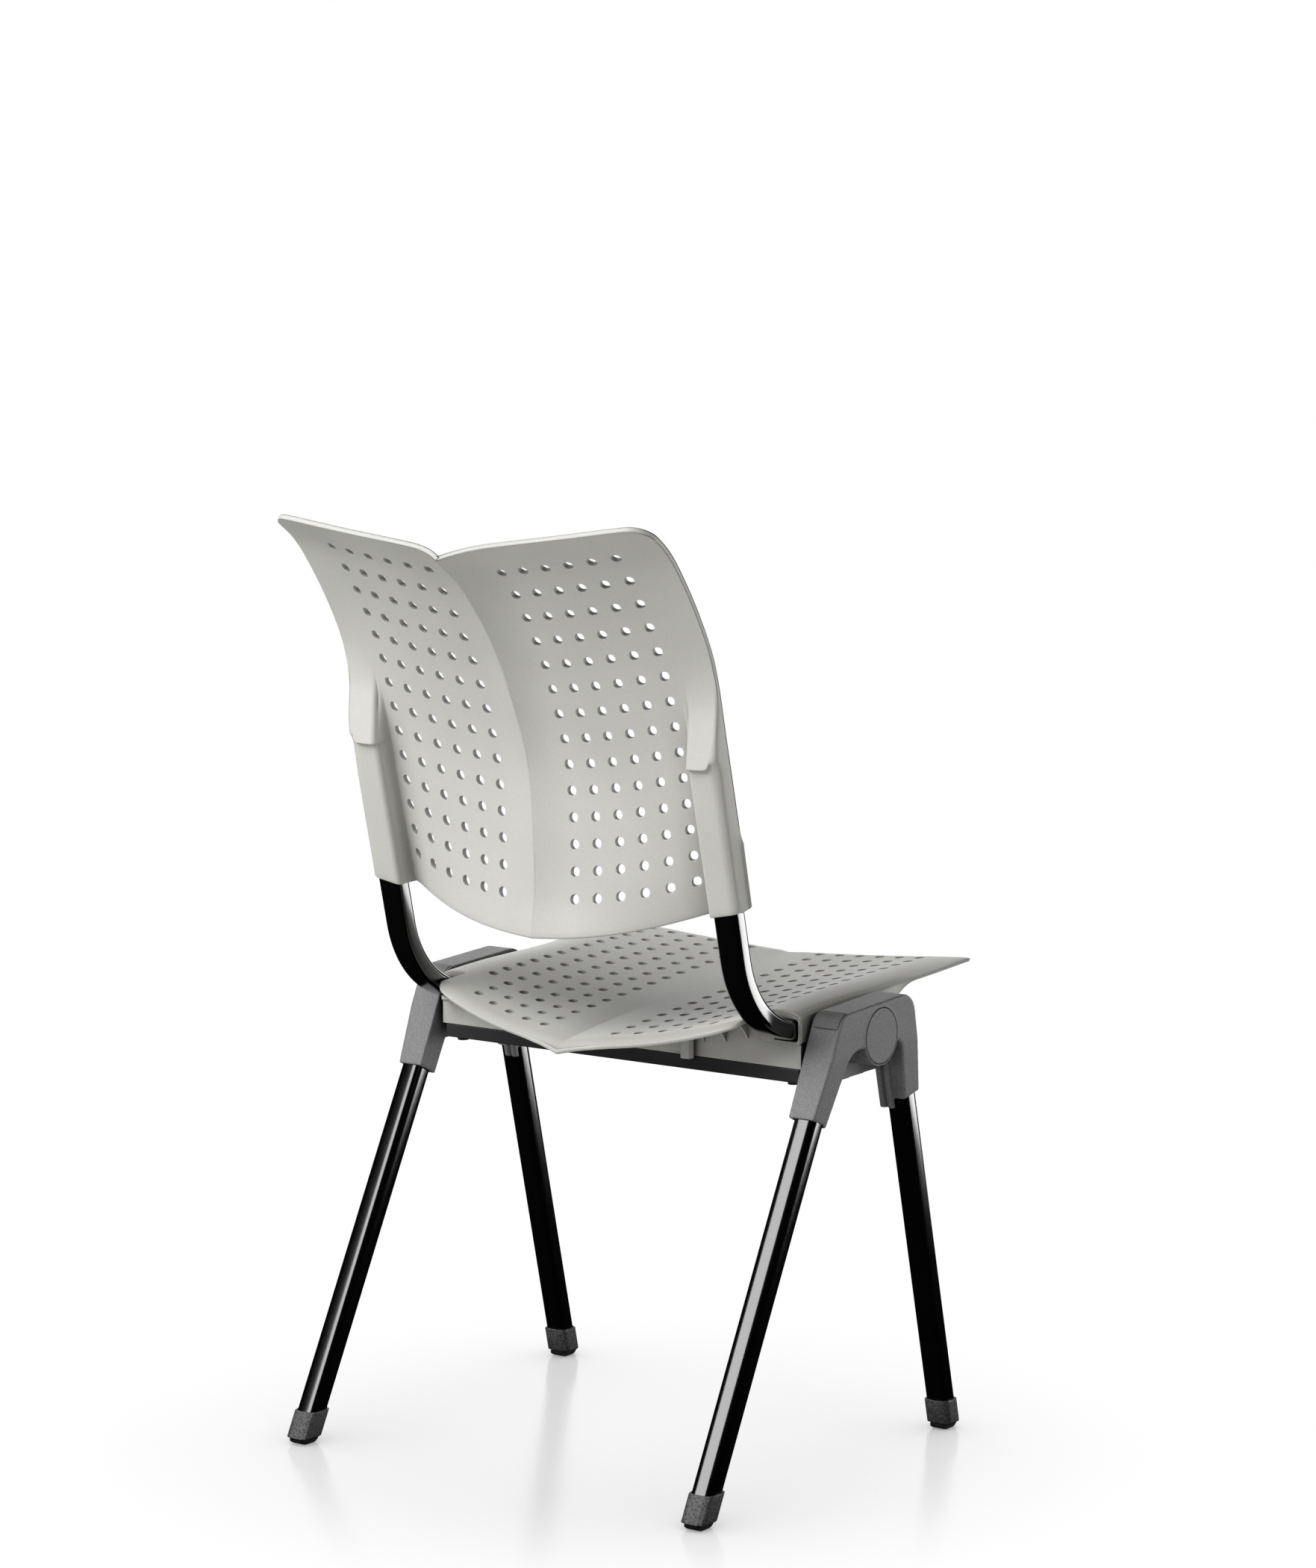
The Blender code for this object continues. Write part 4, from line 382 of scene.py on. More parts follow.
def smooth_through(knots, values, at):
    """Value at one place of a smooth curve that passes through every knot."""
    count = len(knots)
    index = max(0, min(count - 2, sum(1 for knot in knots if knot <= at) - 1))

    def slope(k):
        before, after = max(k - 1, 0), min(k + 1, count - 1)
        return (values[after] - values[before]) / (knots[after] - knots[before])

    span = knots[index + 1] - knots[index]
    t = (at - knots[index]) / span
    rise = values[index + 1] - values[index]
    start, end = slope(index) * span, slope(index + 1) * span
    bend = 3 * rise - 2 * start - end
    return values[index] + t * (start + t * (bend + t * (start + end - 2 * rise)))


def across_stations(stations, values, share):
    """Value across half the width: a parabola up to the third station, then one more."""
    inner, middle, outer, edge = values
    turn = stations[2]
    if share <= turn:
        t = share / stations[1]
        tilt = 2 * middle - 1.5 * inner - 0.5 * outer
        return inner + t * tilt + t * t * (0.5 * inner - middle + 0.5 * outer)
    slope = (inner - 4 * middle + 3 * outer) / turn
    run, span = share - turn, stations[3] - turn
    return outer + slope * run + (edge - outer - slope * span) * (run / span) ** 2


def stretches(surface, u, v):
    """Lengthwise stretches of a surface at one place, and its normal."""
    along_u = surface(u + PROBE, v) - surface(u - PROBE, v)
    along_v = surface(u, v + PROBE) - surface(u, v - PROBE)
    normal = along_u.cross(along_v).normalized()
    return along_u.length / PROBE / 2, along_v.length / PROBE / 2, normal


def back_surface(x, v):
    """Rear face of the plain back shell; v counts hole rows from the top in pitches."""
    row, share = v / COLUMN_PITCH, min(abs(x) / BACK_HALF_WIDTH, 1.0)
    reaches = [smooth_through(BACK_KNOT_ROWS, line, row) for line in BACK_REACH_SHARES]
    heights = [smooth_through(BACK_KNOT_ROWS, line, row) for line in BACK_HEIGHT_SHARES]
    reach = BACK_BASE_REACH + BACK_RAKE * across_stations(BACK_STATION_SHARES, reaches, share)
    height = BACK_HEIGHT * across_stations(BACK_STATION_SHARES, heights, share)
    fold = smooth_through(BACK_KNOT_ROWS, BACK_FOLD_DEPTHS, row)
    reach += fold * max(1 - abs(x) / BACK_FOLD_WIDTH, 0.0) ** 2
    return Vector((x, reach, BACK_BASE_HEIGHT + height))


def across_sleeve(side, outer_edge):
    """Share of the sleeve's depth and its edge rounding at one distance from the crease."""
    if side < SLEEVE_INNER:
        share = (side - SLEEVE_INNER + SLEEVE_FILLET) / SLEEVE_FILLET
        return share, SLEEVE_INNER_EDGE * share
    inner = max(1 - (side - SLEEVE_INNER) / SLEEVE_INNER_EDGE, 0.0)
    outer = EDGE_TURN * max(1 - (BACK_HALF_WIDTH - side) / outer_edge, 0.0)
    round_in = SLEEVE_INNER_EDGE * (1 - sqrt(max(1 - inner * inner, 0.0)))
    round_out = outer_edge * (1 - sqrt(max(1 - outer * outer, 0.0)))
    return 1.0, max(round_in, round_out)


def outer_rounding(above):
    """Rounding of the outer edge, widest at the pad's lower end."""
    widest = PAD_EDGE + PAD_EDGE_SPREAD
    spread = max(1 - abs(above) / PAD_SPREAD_RUN, 0.0)
    if above > 0:
        return PAD_EDGE + PAD_EDGE_SPREAD * spread * spread
    return SLEEVE_EDGE + (widest - SLEEVE_EDGE) * spread


def pad_rise(side, height, above):
    """Rise of the finger pad over its sleeve; it leans back into the shell farther up."""
    corner = max(side - (BACK_HALF_WIDTH - PAD_EDGE_SPREAD - PAD_CORNER), 0.0)
    above -= PAD_CORNER - sqrt(max(PAD_CORNER ** 2 - min(corner, PAD_CORNER) ** 2, 0.0))
    rise = PAD_STEP - PAD_FADE * (height - PAD_BOTTOM_HEIGHT)
    if rise > 0:
        share = min(max(above / PAD_STEP_RUN, 0.0), 1.0)
        rise *= share * share * (3 - 2 * share)
    across = (side - PAD_MIDDLE) / PAD_HALF_WIDTH
    high = min(max((above - PAD_CROWN_START) / PAD_CROWN_RUN, 0.0), 1.0)
    return rise - PAD_CROWN * across * across * high


def back_rear_face(x, v):
    """Rear face of the back shell with the sleeves and their finger pads."""
    point, side = back_surface(x, v), abs(x)
    above = PAD_ROW * COLUMN_PITCH - v + PAD_TILT * (side - SLEEVE_INNER)
    if side <= SLEEVE_INNER - SLEEVE_FILLET or v < SLEEVE_FIRST_ROW * COLUMN_PITCH:
        return point
    share, drop = across_sleeve(side, outer_rounding(above))
    face = SLEEVE_FACE - drop
    if above > 0:
        face += pad_rise(side, point.z, above)
    reach, height = point.y - UPRIGHT_BEND_REACH, point.z - UPRIGHT_BEND_HEIGHT
    behind = reach * cos(UPRIGHT_LEAN) - height * sin(UPRIGHT_LEAN)
    blend = SLEEVE_BLEND + PAD_BLEND * max(above - PAD_BLEND_START, 0.0)
    extra = min(max(face - behind + blend, 0.0), 2 * blend)
    extra = max(extra * extra / (4 * blend), face - behind) * share
    return point + Vector((0, cos(UPRIGHT_LEAN), -sin(UPRIGHT_LEAN))) * extra


def back_front_face(x, v):
    """Face of the back shell on the sitter's side."""
    return back_surface(x, v) - stretches(back_surface, x, v)[2] * BACK_WALL


def seat_rear_edge(side):
    """Reach of the tongue's rear edge at one distance from the crease."""
    share = min(side / TONGUE_HALF_WIDTH, 1.0)
    sweep = TONGUE_STRAIGHT_SHARE * share + (1 - TONGUE_STRAIGHT_SHARE) * share * share
    return SEAT_REAR_REACH - TONGUE_SWEEP * sweep


def skirt_depth(reach):
    """Depth of the side skirt, which fades out ahead of the hubs."""
    share = (reach - SKIRT_FADE_END) / (SKIRT_FADE_START - SKIRT_FADE_END)
    share = min(max(share, 0.0), 1.0)
    return SKIRT_EDGE_DEPTH + (SKIRT_DEPTH - SKIRT_EDGE_DEPTH) * (1 - cos(pi * share)) / 2


def seat_height(side, reach):
    """Height of the seat's top, folded along its rear middle and without its edge lips."""
    share = min(side / SEAT_HALF_WIDTH, 1.0)
    along = (SEAT_REAR_REACH - reach) / (SEAT_REAR_REACH - SEAT_FRONT_REACH)
    heights = [smooth_through(SEAT_KNOT_SHARES, line, along) for line in SEAT_HEIGHT_SHARES]
    fold = SEAT_FOLD * max(1 - side / SEAT_FOLD_WIDTH, 0.0) ** 2
    fold *= min(max(1 - (SEAT_REAR_REACH - reach) / SEAT_FOLD_RUN, 0.0), 1.0)
    dish = SEAT_DISH * across_stations(SEAT_STATION_SHARES, heights, share)
    return SEAT_BASE_HEIGHT + dish - fold


def lip_drop(side, reach):
    """Drop of the rear and front lips near the edges of the seat."""
    at_crease = 1 + max(1 - side / CREASE_LIP_WIDTH, 0.0)
    rear = max(seat_rear_edge(side) - reach, 0.0)
    drop = REAR_LIP_DROP * max(1 - rear / REAR_LIP_REACH, 0.0) ** 2
    if side > TONGUE_HALF_WIDTH:
        drop = 0.0
    front = max(reach - SEAT_FRONT_REACH, 0.0)
    return drop + FRONT_LIP_DROP * at_crease * max(1 - front / FRONT_LIP_REACH, 0.0) ** 2


def seat_top_face(u, reach):
    """Top of the seat; beyond the skirt's start, u runs down the rolled side."""
    side, sign = abs(u), (1 if u >= 0 else -1)
    if side <= SKIRT_START:
        return Vector((u, reach, seat_height(side, reach) - lip_drop(side, reach)))
    share = min((side - SKIRT_START) / SKIRT_SPAN, 1.0)
    depth = skirt_depth(reach)
    roll = smooth_through(SKIRT_KNOT_SHARES, SKIRT_SIDE_SHARES, share)
    out = SKIRT_REACH * (share + (roll - share) * depth / SKIRT_DEPTH)
    drop = depth * smooth_through(SKIRT_KNOT_SHARES, SKIRT_DROP_SHARES, share)
    crown = seat_height(SKIRT_START + out, reach) - lip_drop(SKIRT_START, reach)
    return Vector((sign * (SKIRT_START + out), reach, crown - drop))


def seat_low_face(u, reach):
    """Underside of the seat and inside of its skirts."""
    share = min(max((abs(u) - SKIRT_START) / SKIRT_SPAN, 0.0), 1.0)
    wall = SEAT_WALL + (SKIRT_WALL - SEAT_WALL) * min(2 * share, 1.0)
    spread = PROBE + (SKIRT_PROBE if share > 0 else 0)
    outer, inner = u + spread, u - spread
    if share > SKIRT_END_SHARE:
        outer = u if u > 0 else u + 2 * spread
        inner = u - 2 * spread if u > 0 else u
    along_u = seat_top_face(outer, reach) - seat_top_face(inner, reach)
    along_v = seat_top_face(u, reach + PROBE) - seat_top_face(u, reach - PROBE)
    return seat_top_face(u, reach) - along_u.cross(along_v).normalized() * wall


def row_bow(side):
    """How far forward a hole row has bowed at one distance from the crease."""
    return SEAT_ROW_BOW * (side / SEAT_HALF_WIDTH) ** 2


def seat_hole_reach(side, row):
    """Reach of one hole; the rows bow forward towards the sides."""
    return SEAT_FIRST_ROW - SEAT_ROW_PITCH * row - row_bow(side) * (1 - row / SEAT_BOW_ROWS)


def hole_columns():
    """Places of the hole columns on one side of the crease."""
    return [FIRST_COLUMN + COLUMN_PITCH * k for k in range(HOLE_COLUMNS)]


def hole_lines():
    """Grid lines beside the crease and on both sides of each hole column."""
    lines = list(CREASE_LINES)
    for column in hole_columns():
        lines += [column - HOLE_CELL, column + HOLE_CELL]
    return lines


# Modelling steps shared by the pieces


def start_clean():
    """Leave edit mode and deselect everything."""
    if bpy.context.object and bpy.context.object.mode != "OBJECT":
        bpy.ops.object.mode_set(mode="OBJECT")
    bpy.ops.object.select_all(action="DESELECT")


def choose(piece):
    """Select one piece alone and make it the active one."""
    start_clean()
    piece.select_set(True)
    bpy.context.view_layer.objects.active = piece


def edit(piece, kind="FACE"):
    """Enter edit mode on one piece with all its faces or edges selected."""
    choose(piece)
    bpy.ops.object.mode_set(mode="EDIT")
    bpy.ops.mesh.select_mode(type=kind)
    bpy.ops.mesh.select_all(action="SELECT")


def extrude(step):
    """Extrude what is selected by one step."""
    bpy.ops.mesh.extrude_region_move(TRANSFORM_OT_translate={"value": step})


def face_outward():
    """Turn every face of the piece in edit mode outward."""
    bpy.ops.mesh.select_all(action="SELECT")
    bpy.ops.mesh.normals_make_consistent(inside=False)


def pick_faces(piece, wanted):
    """Select the faces whose centres pass a test, and nothing else."""
    bpy.ops.mesh.select_all(action="DESELECT")
    bpy.ops.object.mode_set(mode="OBJECT")
    for face in piece.data.polygons:
        face.select = wanted(face.center)
    bpy.ops.object.mode_set(mode="EDIT")


def apply_modifier(piece, kind, **values):
    """Add one modifier with its values and apply it."""
    choose(piece)
    bpy.ops.object.modifier_add(type=kind)
    modifier = piece.modifiers[-1]
    for name, value in values.items():
        setattr(modifier, name, value)
    bpy.ops.object.modifier_apply(modifier=modifier.name)


def smooth_shading(piece, angle):
    """Smooth shading that breaks at edges sharper than an angle."""
    choose(piece)
    bpy.ops.object.shade_smooth_by_angle(angle=radians(angle))


def finish(piece, name, material, body, slot, *nodes):
    """Name a piece, give it its finish and hang it on its body."""
    start_clean()
    piece.name = name
    piece.data.name = name
    piece.data.materials.clear()
    piece.data.materials.append(bpy.data.materials[material])
    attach(piece, body)
    if nodes:
        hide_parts(*nodes)


def laid_grid(columns, rows):
    """Flat grid whose lines stand at the given places."""
    start_clean()
    bpy.ops.mesh.primitive_grid_add(
        x_subdivisions=len(columns) - 1, y_subdivisions=len(rows) - 1, size=2,
    )
    piece = bpy.context.object
    for vert in piece.data.vertices:
        column = round((vert.co.x + 1) / 2 * (len(columns) - 1))
        row = round((vert.co.y + 1) / 2 * (len(rows) - 1))
        vert.co = (columns[column], rows[row], 0)
    return piece


def both_ways(places):
    """Places on both sides of the crease, in order."""
    return [-place for place in reversed(places)] + [0.0] + list(places)


def perforate(piece, centres, radius, surface):
    """Open a hole in the middle cell around each centre, round on the finished surface."""
    cell, near = HOLE_CELL * OPEN_SHARE, HOLE_CELL * NEAR_SHARE

    def at_hole(point):
        return any(abs(point.x - u) < cell and abs(point.y - v) < cell for u, v in centres)

    edit(piece)
    pick_faces(piece, at_hole)
    bpy.ops.mesh.inset(thickness=HOLE_CELL * INSET_SHARE, use_individual=True)
    bpy.ops.mesh.delete(type="FACE")
    start_clean()
    corners = {}
    for vert in piece.data.vertices:
        for number, (u, v) in enumerate(centres):
            if abs(vert.co.x - u) < near and abs(vert.co.y - v) < near:
                corners.setdefault(number, []).append(vert)
    for number, verts in corners.items():
        u, v = centres[number]
        stretch_u, stretch_v, _ = stretches(surface, u, v)
        half = radius * CURVE_GAIN
        nearest = sorted(verts, key=lambda vert: (vert.co.xy - Vector((u, v))).length)[:4]
        for vert in nearest:
            right = 1 if vert.co.x > u else -1
            ahead = 1 if vert.co.y > v else -1
            vert.co.x = u + right * half / stretch_u
            vert.co.y = v + ahead * half / stretch_v


def thicken(piece, centres, outer, inner, settings):
    """Turn the flat sheet into the curved shell with its wall and rounded edges."""
    apply_modifier(
        piece, "SUBSURF", levels=settings.smoothness, render_levels=settings.smoothness,
        boundary_smooth="PRESERVE_CORNERS",
    )
    edit(piece)
    extrude((0, 0, SHEET_WALL))
    face_outward()
    start_clean()
    mark_roundings(piece.data, centres, settings.hole_rounding / settings.rim_rounding)
    for vert in piece.data.vertices:
        face = outer if vert.co.z > SHEET_WALL / 2 else inner
        point = face(vert.co.x, vert.co.y)
        vert.co = (point.x, point.y + AXIS.y, point.z)
    edit(piece)
    face_outward()
    apply_modifier(
        piece, "BEVEL", limit_method="WEIGHT", width=settings.rim_rounding, segments=3,
        use_clamp_overlap=False,
    )
    smooth_shading(piece, SHELL_SHARP_ANGLE)


def mark_roundings(data, centres, hole_share):
    """Weigh the rims of the sheet, its crease and its hole edges for the rounding."""
    flat = {}
    for face in data.polygons:
        for key in face.edge_keys:
            flat.setdefault(key, []).append(abs(face.normal.z) > 0.5)
    weights = data.attributes.new("bevel_weight_edge", "FLOAT", "EDGE")
    for edge in data.edges:
        first, second = (data.vertices[k].co for k in edge.vertices)
        if max(abs(first.x), abs(second.x)) < FLAT and abs(first.z - second.z) < FLAT:
            weights.data[edge.index].value = CREASE_ROUNDING
        if sorted(flat.get(edge.key, [])) != [False, True]:
            continue
        place = first.xy
        near = any(
            abs(place.x - u) < HOLE_CELL and abs(place.y - v) < HOLE_CELL for u, v in centres
        )
        weights.data[edge.index].value = hole_share if near else 1.0


def swept_section(half_width, half_depth, crown):
    """Ring with softly crowned sides, to be set at the start of a tube."""
    start_clean()
    bpy.ops.mesh.primitive_circle_add(vertices=TUBE_POINTS, radius=1, fill_type="NOTHING")
    ring = bpy.context.object
    for vert in ring.data.vertices:
        wide = abs(vert.co.x) ** (2 / crown) * (1 if vert.co.x > 0 else -1)
        deep = abs(vert.co.y) ** (2 / crown) * (1 if vert.co.y > 0 else -1)
        vert.co = (half_width * wide, half_depth * deep, 0)
    return ring


def stand_ring(ring, place, depth):
    """Move the ring to a place with its depth along a direction."""
    for vert in ring.data.vertices:
        vert.co = place + Vector((vert.co.x, 0, 0)) + depth * vert.co.y


def close_tube(piece):
    """Cap both ends of a tube and turn its faces outward."""
    bpy.ops.mesh.select_all(action="SELECT")
    bpy.ops.mesh.fill_holes(sides=0)
    face_outward()
    smooth_shading(piece, SHARP_ANGLE)


def refined_copy(node, width, segments=2):
    """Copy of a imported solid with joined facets, rounded edges and smooth shading."""
    choose(frame["nodes"][node])
    bpy.ops.object.duplicate(linked=False)
    piece = bpy.context.object
    piece.parent = None
    edit(piece)
    bpy.ops.mesh.customdata_custom_splitnormals_clear()
    bpy.ops.mesh.remove_doubles(threshold=FLAT / 2)
    face_outward()
    bpy.ops.mesh.dissolve_limited(angle_limit=radians(FACET_ANGLE))
    start_clean()
    apply_modifier(
        piece, "BEVEL", limit_method="ANGLE", angle_limit=radians(EDGE_ANGLE), width=width,
        segments=segments, use_clamp_overlap=True,
    )
    smooth_shading(piece, SHARP_ANGLE)
    apply_modifier(piece, "WEIGHTED_NORMAL", keep_sharp=True)
    return piece


def softened_copy(node, grain, passes):
    """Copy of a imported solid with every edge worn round, as a moulding's edges are."""
    piece = refined_copy(node, FINE_EDGE, 1)
    apply_modifier(piece, "REMESH", mode="VOXEL", voxel_size=grain)
    apply_modifier(piece, "SMOOTH", factor=0.5, iterations=passes)
    smooth_shading(piece, NO_SHARP_ANGLE)
    return piece


# Finishes


def new_group(name, inputs, outputs):
    """Empty shader group with its sockets."""
    group = bpy.data.node_groups.new(name, "ShaderNodeTree")
    for label, value in inputs:
        socket = group.interface.new_socket(label, in_out="INPUT", socket_type="NodeSocketFloat")
        socket.default_value = value
    for label in outputs:
        group.interface.new_socket(label, in_out="OUTPUT", socket_type="NodeSocketFloat")
    entry = group.nodes.new("NodeGroupInput")
    leave = group.nodes.new("NodeGroupOutput")
    return group, entry, leave


def add_node(nodes, kind, inputs=(), **settings):
    """Shader node with its settings and the values of its free inputs."""
    node = nodes.new(kind)
    for name, value in settings.items():
        setattr(node, name, value)
    for name, value in dict(inputs).items():
        node.inputs[name].default_value = value
    return node


def link_all(links, *routes):
    """Link nodes; each route is a node, its output, the next node and its input."""
    for start, leaving, end, entering in routes:
        links.new(start.outputs[leaving], end.inputs[entering])


def grain_group():
    """Moulded grain: a height for the bump, a fleck mask and a slow mottling."""
    group, entry, leave = new_group(
        "moulded_grain", (("Grain", 1400.0), ("Fleck", 900.0)), ("Height", "Flecks", "Mottle")
    )
    nodes = group.nodes
    place = add_node(nodes, "ShaderNodeTexCoord")
    fine = add_node(nodes, "ShaderNodeTexNoise", {"Detail": 3.0})
    fleck = add_node(nodes, "ShaderNodeTexVoronoi", feature="F1")
    slow = add_node(nodes, "ShaderNodeTexNoise", {"Scale": 14.0, "Detail": 4.0})
    spread = add_node(nodes, "ShaderNodeMapRange", {"From Min": 0.15, "From Max": 0.75})
    link_all(
        group.links,
        (place, "Object", fine, "Vector"),
        (place, "Object", fleck, "Vector"),
        (place, "Object", slow, "Vector"),
        (entry, "Grain", fine, "Scale"),
        (entry, "Fleck", fleck, "Scale"),
        (fleck, "Distance", spread, "Value"),
        (fine, "Fac", leave, "Height"),
        (spread, "Result", leave, "Flecks"),
        (slow, "Fac", leave, "Mottle"),
    )


def new_material(name):
    """Material with its shader and links at hand."""
    material = bpy.data.materials.new(name)
    material.use_nodes = True
    tree = material.node_tree
    return tree.nodes, tree.links, tree.nodes["Principled BSDF"]


def shaded(colour, factor):
    """Colour made darker or lighter by a factor."""
    return tuple(min(part * factor, 1.0) for part in colour) + (1.0,)


def blend_node(nodes, first, second):
    """Node that blends two colours."""
    return add_node(nodes, "ShaderNodeMix", {"A": first, "B": second}, data_type="RGBA")


def multiply_node(nodes, factor):
    """Node that multiplies a colour by a mask."""
    return add_node(
        nodes, "ShaderNodeMix", {"Factor": factor}, data_type="RGBA", blend_type="MULTIPLY",
    )


def moulded_plastic(name, colour, grain, fleck, depth, contrast, rough):
    """Grained plastic with fine flecks and a slow mottling, and painted shade that darkens its
    colour in recesses.
    """
    nodes, links, shader = new_material(name)
    group = add_node(
        nodes, "ShaderNodeGroup", node_tree=bpy.data.node_groups["moulded_grain"],
    )
    group.inputs["Grain"].default_value = grain
    group.inputs["Fleck"].default_value = fleck
    tint = blend_node(nodes, shaded(colour, 1 - contrast), shaded(colour, 1 + contrast))
    cloud = multiply_node(nodes, MOTTLE_SHARE)
    # Painted shade: the colour is multiplied by ambient occlusion, so recesses, creases and gaps
    # come out darker
    painted_shade = multiply_node(nodes, 1.0)
    shade_occlusion = add_node(nodes, "ShaderNodeAmbientOcclusion", {"Distance": PAINTED_SHADE_REACH}, samples=6)
    gloss = add_node(nodes, "ShaderNodeMapRange", {
        "To Min": rough - GLOSS_SPREAD, "To Max": rough + GLOSS_SPREAD,
    })
    bump = add_node(nodes, "ShaderNodeBump", {"Distance": depth})
    link_all(
        links,
        (group, "Flecks", tint, "Factor"),
        (tint, "Result", cloud, "A"),
        (group, "Mottle", cloud, "B"),
        (cloud, "Result", painted_shade, "A"),
        (shade_occlusion, "AO", painted_shade, "B"),
        (painted_shade, "Result", shader, "Base Color"),
        (group, "Mottle", gloss, "Value"),
        (gloss, "Result", shader, "Roughness"),
        (group, "Height", bump, "Height"),
        (bump, "Normal", shader, "Normal"),
    )


def coated_metal(name, colour, rough, ripple, depth, metallic=0.0):
    """Painted or bare metal with the faint ripple of its coat."""
    nodes, links, shader = new_material(name)
    shader.inputs["Metallic"].default_value = metallic
    place = add_node(nodes, "ShaderNodeTexCoord")
    wave = add_node(nodes, "ShaderNodeTexNoise", {"Scale": ripple, "Detail": 2.0})
    tint = blend_node(nodes, shaded(colour, 0.85), shaded(colour, 1.15))
    gloss = add_node(nodes, "ShaderNodeMapRange", {"To Min": rough * 0.8, "To Max": rough * 1.2})
    bump = add_node(nodes, "ShaderNodeBump", {"Distance": depth})
    link_all(
        links,
        (place, "Object", wave, "Vector"),
        (wave, "Fac", tint, "Factor"),
        (tint, "Result", shader, "Base Color"),
        (wave, "Fac", gloss, "Value"),
        (gloss, "Result", shader, "Roughness"),
        (wave, "Fac", bump, "Height"),
        (bump, "Normal", shader, "Normal"),
    )
    return shader


class CHAIR_OT_finishes(bpy.types.Operator):
    """Make every finish of the chair"""

    bl_idname = "chair.finishes"
    bl_label = "Finishes"

    def execute(self, context):
        colours = context.scene.chair_finishes
        grain_group()
        # The four moulded plastics carry painted shade in their recesses
        moulded_plastic("shell_finish_and_shade", colours.shell, 900, 700, 0.00016, 0.03, 0.50)
        moulded_plastic("hub_finish_and_shade", colours.hub, 900, 600, 0.00030, 0.17, 0.55)
        moulded_plastic("foot_finish_and_shade", colours.foot, 800, 450, 0.00045, 0.55, 0.45)
        moulded_plastic("sole_finish_and_shade", colours.sole, 1400, 1000, 0.00006, 0.10, 0.80)
        enamel = coated_metal("enamel_finish", colours.enamel, 0.14, 40, 0.00001)
        enamel.inputs["Coat Weight"].default_value = 1.0
        enamel.inputs["Coat Roughness"].default_value = ENAMEL_COAT_ROUGHNESS
        coated_metal("powder_finish", colours.carrier, 0.42, 900, 0.00003)
        coated_metal("steel_finish", colours.steel, 0.28, 700, 0.00001, 1.0)
        coated_metal("screw_finish", colours.steel, 0.35, 700, 0.00001, 1.0)
        return {"FINISHED"}


# Pieces


class CHAIR_OT_back_shell(bpy.types.Operator):
    """Model the perforated back shell with its sleeves"""

    bl_idname = "chair.back_shell"
    bl_label = "Back shell"

    def execute(self, context):
        settings = context.scene.chair_shells
        pitch = COLUMN_PITCH
        places = hole_lines() + list(SLEEVE_LINES) + [BACK_HALF_WIDTH]
        top = BACK_TOP_ROW * pitch
        rows = [top, top + BACK_RIM_LINE, BACK_PLAIN_ROW * pitch, BACK_BOTTOM_ROW * pitch]
        for row in range(BACK_ROWS):
            rows += [row * pitch - HOLE_CELL, row * pitch + HOLE_CELL]
        rows += [(PAD_ROW + step) * pitch for step in PAD_ROW_STEPS]
        piece = laid_grid(both_ways(places), sorted(rows))
        self.shape_edges(piece)
        centres = [
            (side * column, row * pitch)
            for side, _ in SIDES for column in hole_columns() for row in range(BACK_ROWS)
        ]
        perforate(piece, centres, settings.hole_diameter / 2, back_surface)
        thicken(piece, centres, back_rear_face, back_front_face, settings)
        finish(piece, "back_panel", "shell_finish_and_shade", TILTING, "shell_plastic", "back_shell")
        return {"FINISHED"}

    def shape_edges(self, piece):
        """Round the top corners, dip the top edge and lean the rows under the pads."""
        top, start = BACK_TOP_ROW, BACK_HALF_WIDTH - BACK_CORNER_RADIUS
        for vert in piece.data.vertices:
            side, row = abs(vert.co.x), vert.co.y / COLUMN_PITCH
            fade = max((BACK_EDGE_FADE_ROW - row) / (BACK_EDGE_FADE_ROW - top), 0.0)
            edge = smooth_through(BACK_EDGE_SIDES, BACK_EDGE_ROWS, side) - top
            vert.co.y += edge * COLUMN_PITCH * fade
            if side > start:
                share = (side - start) / BACK_CORNER_RADIUS
                drop = BACK_CORNER_RADIUS * (1 - sqrt(max(1 - share * share, 0.0)))
                vert.co.y += drop * max(1 - (row - top) / BACK_CORNER_ROWS, 0.0)
            lean = PAD_TILT * max(side - SLEEVE_INNER, 0.0)
            vert.co.y += lean * max(1 - abs(row - PAD_ROW) / PAD_LEAN_ROWS, 0.0)


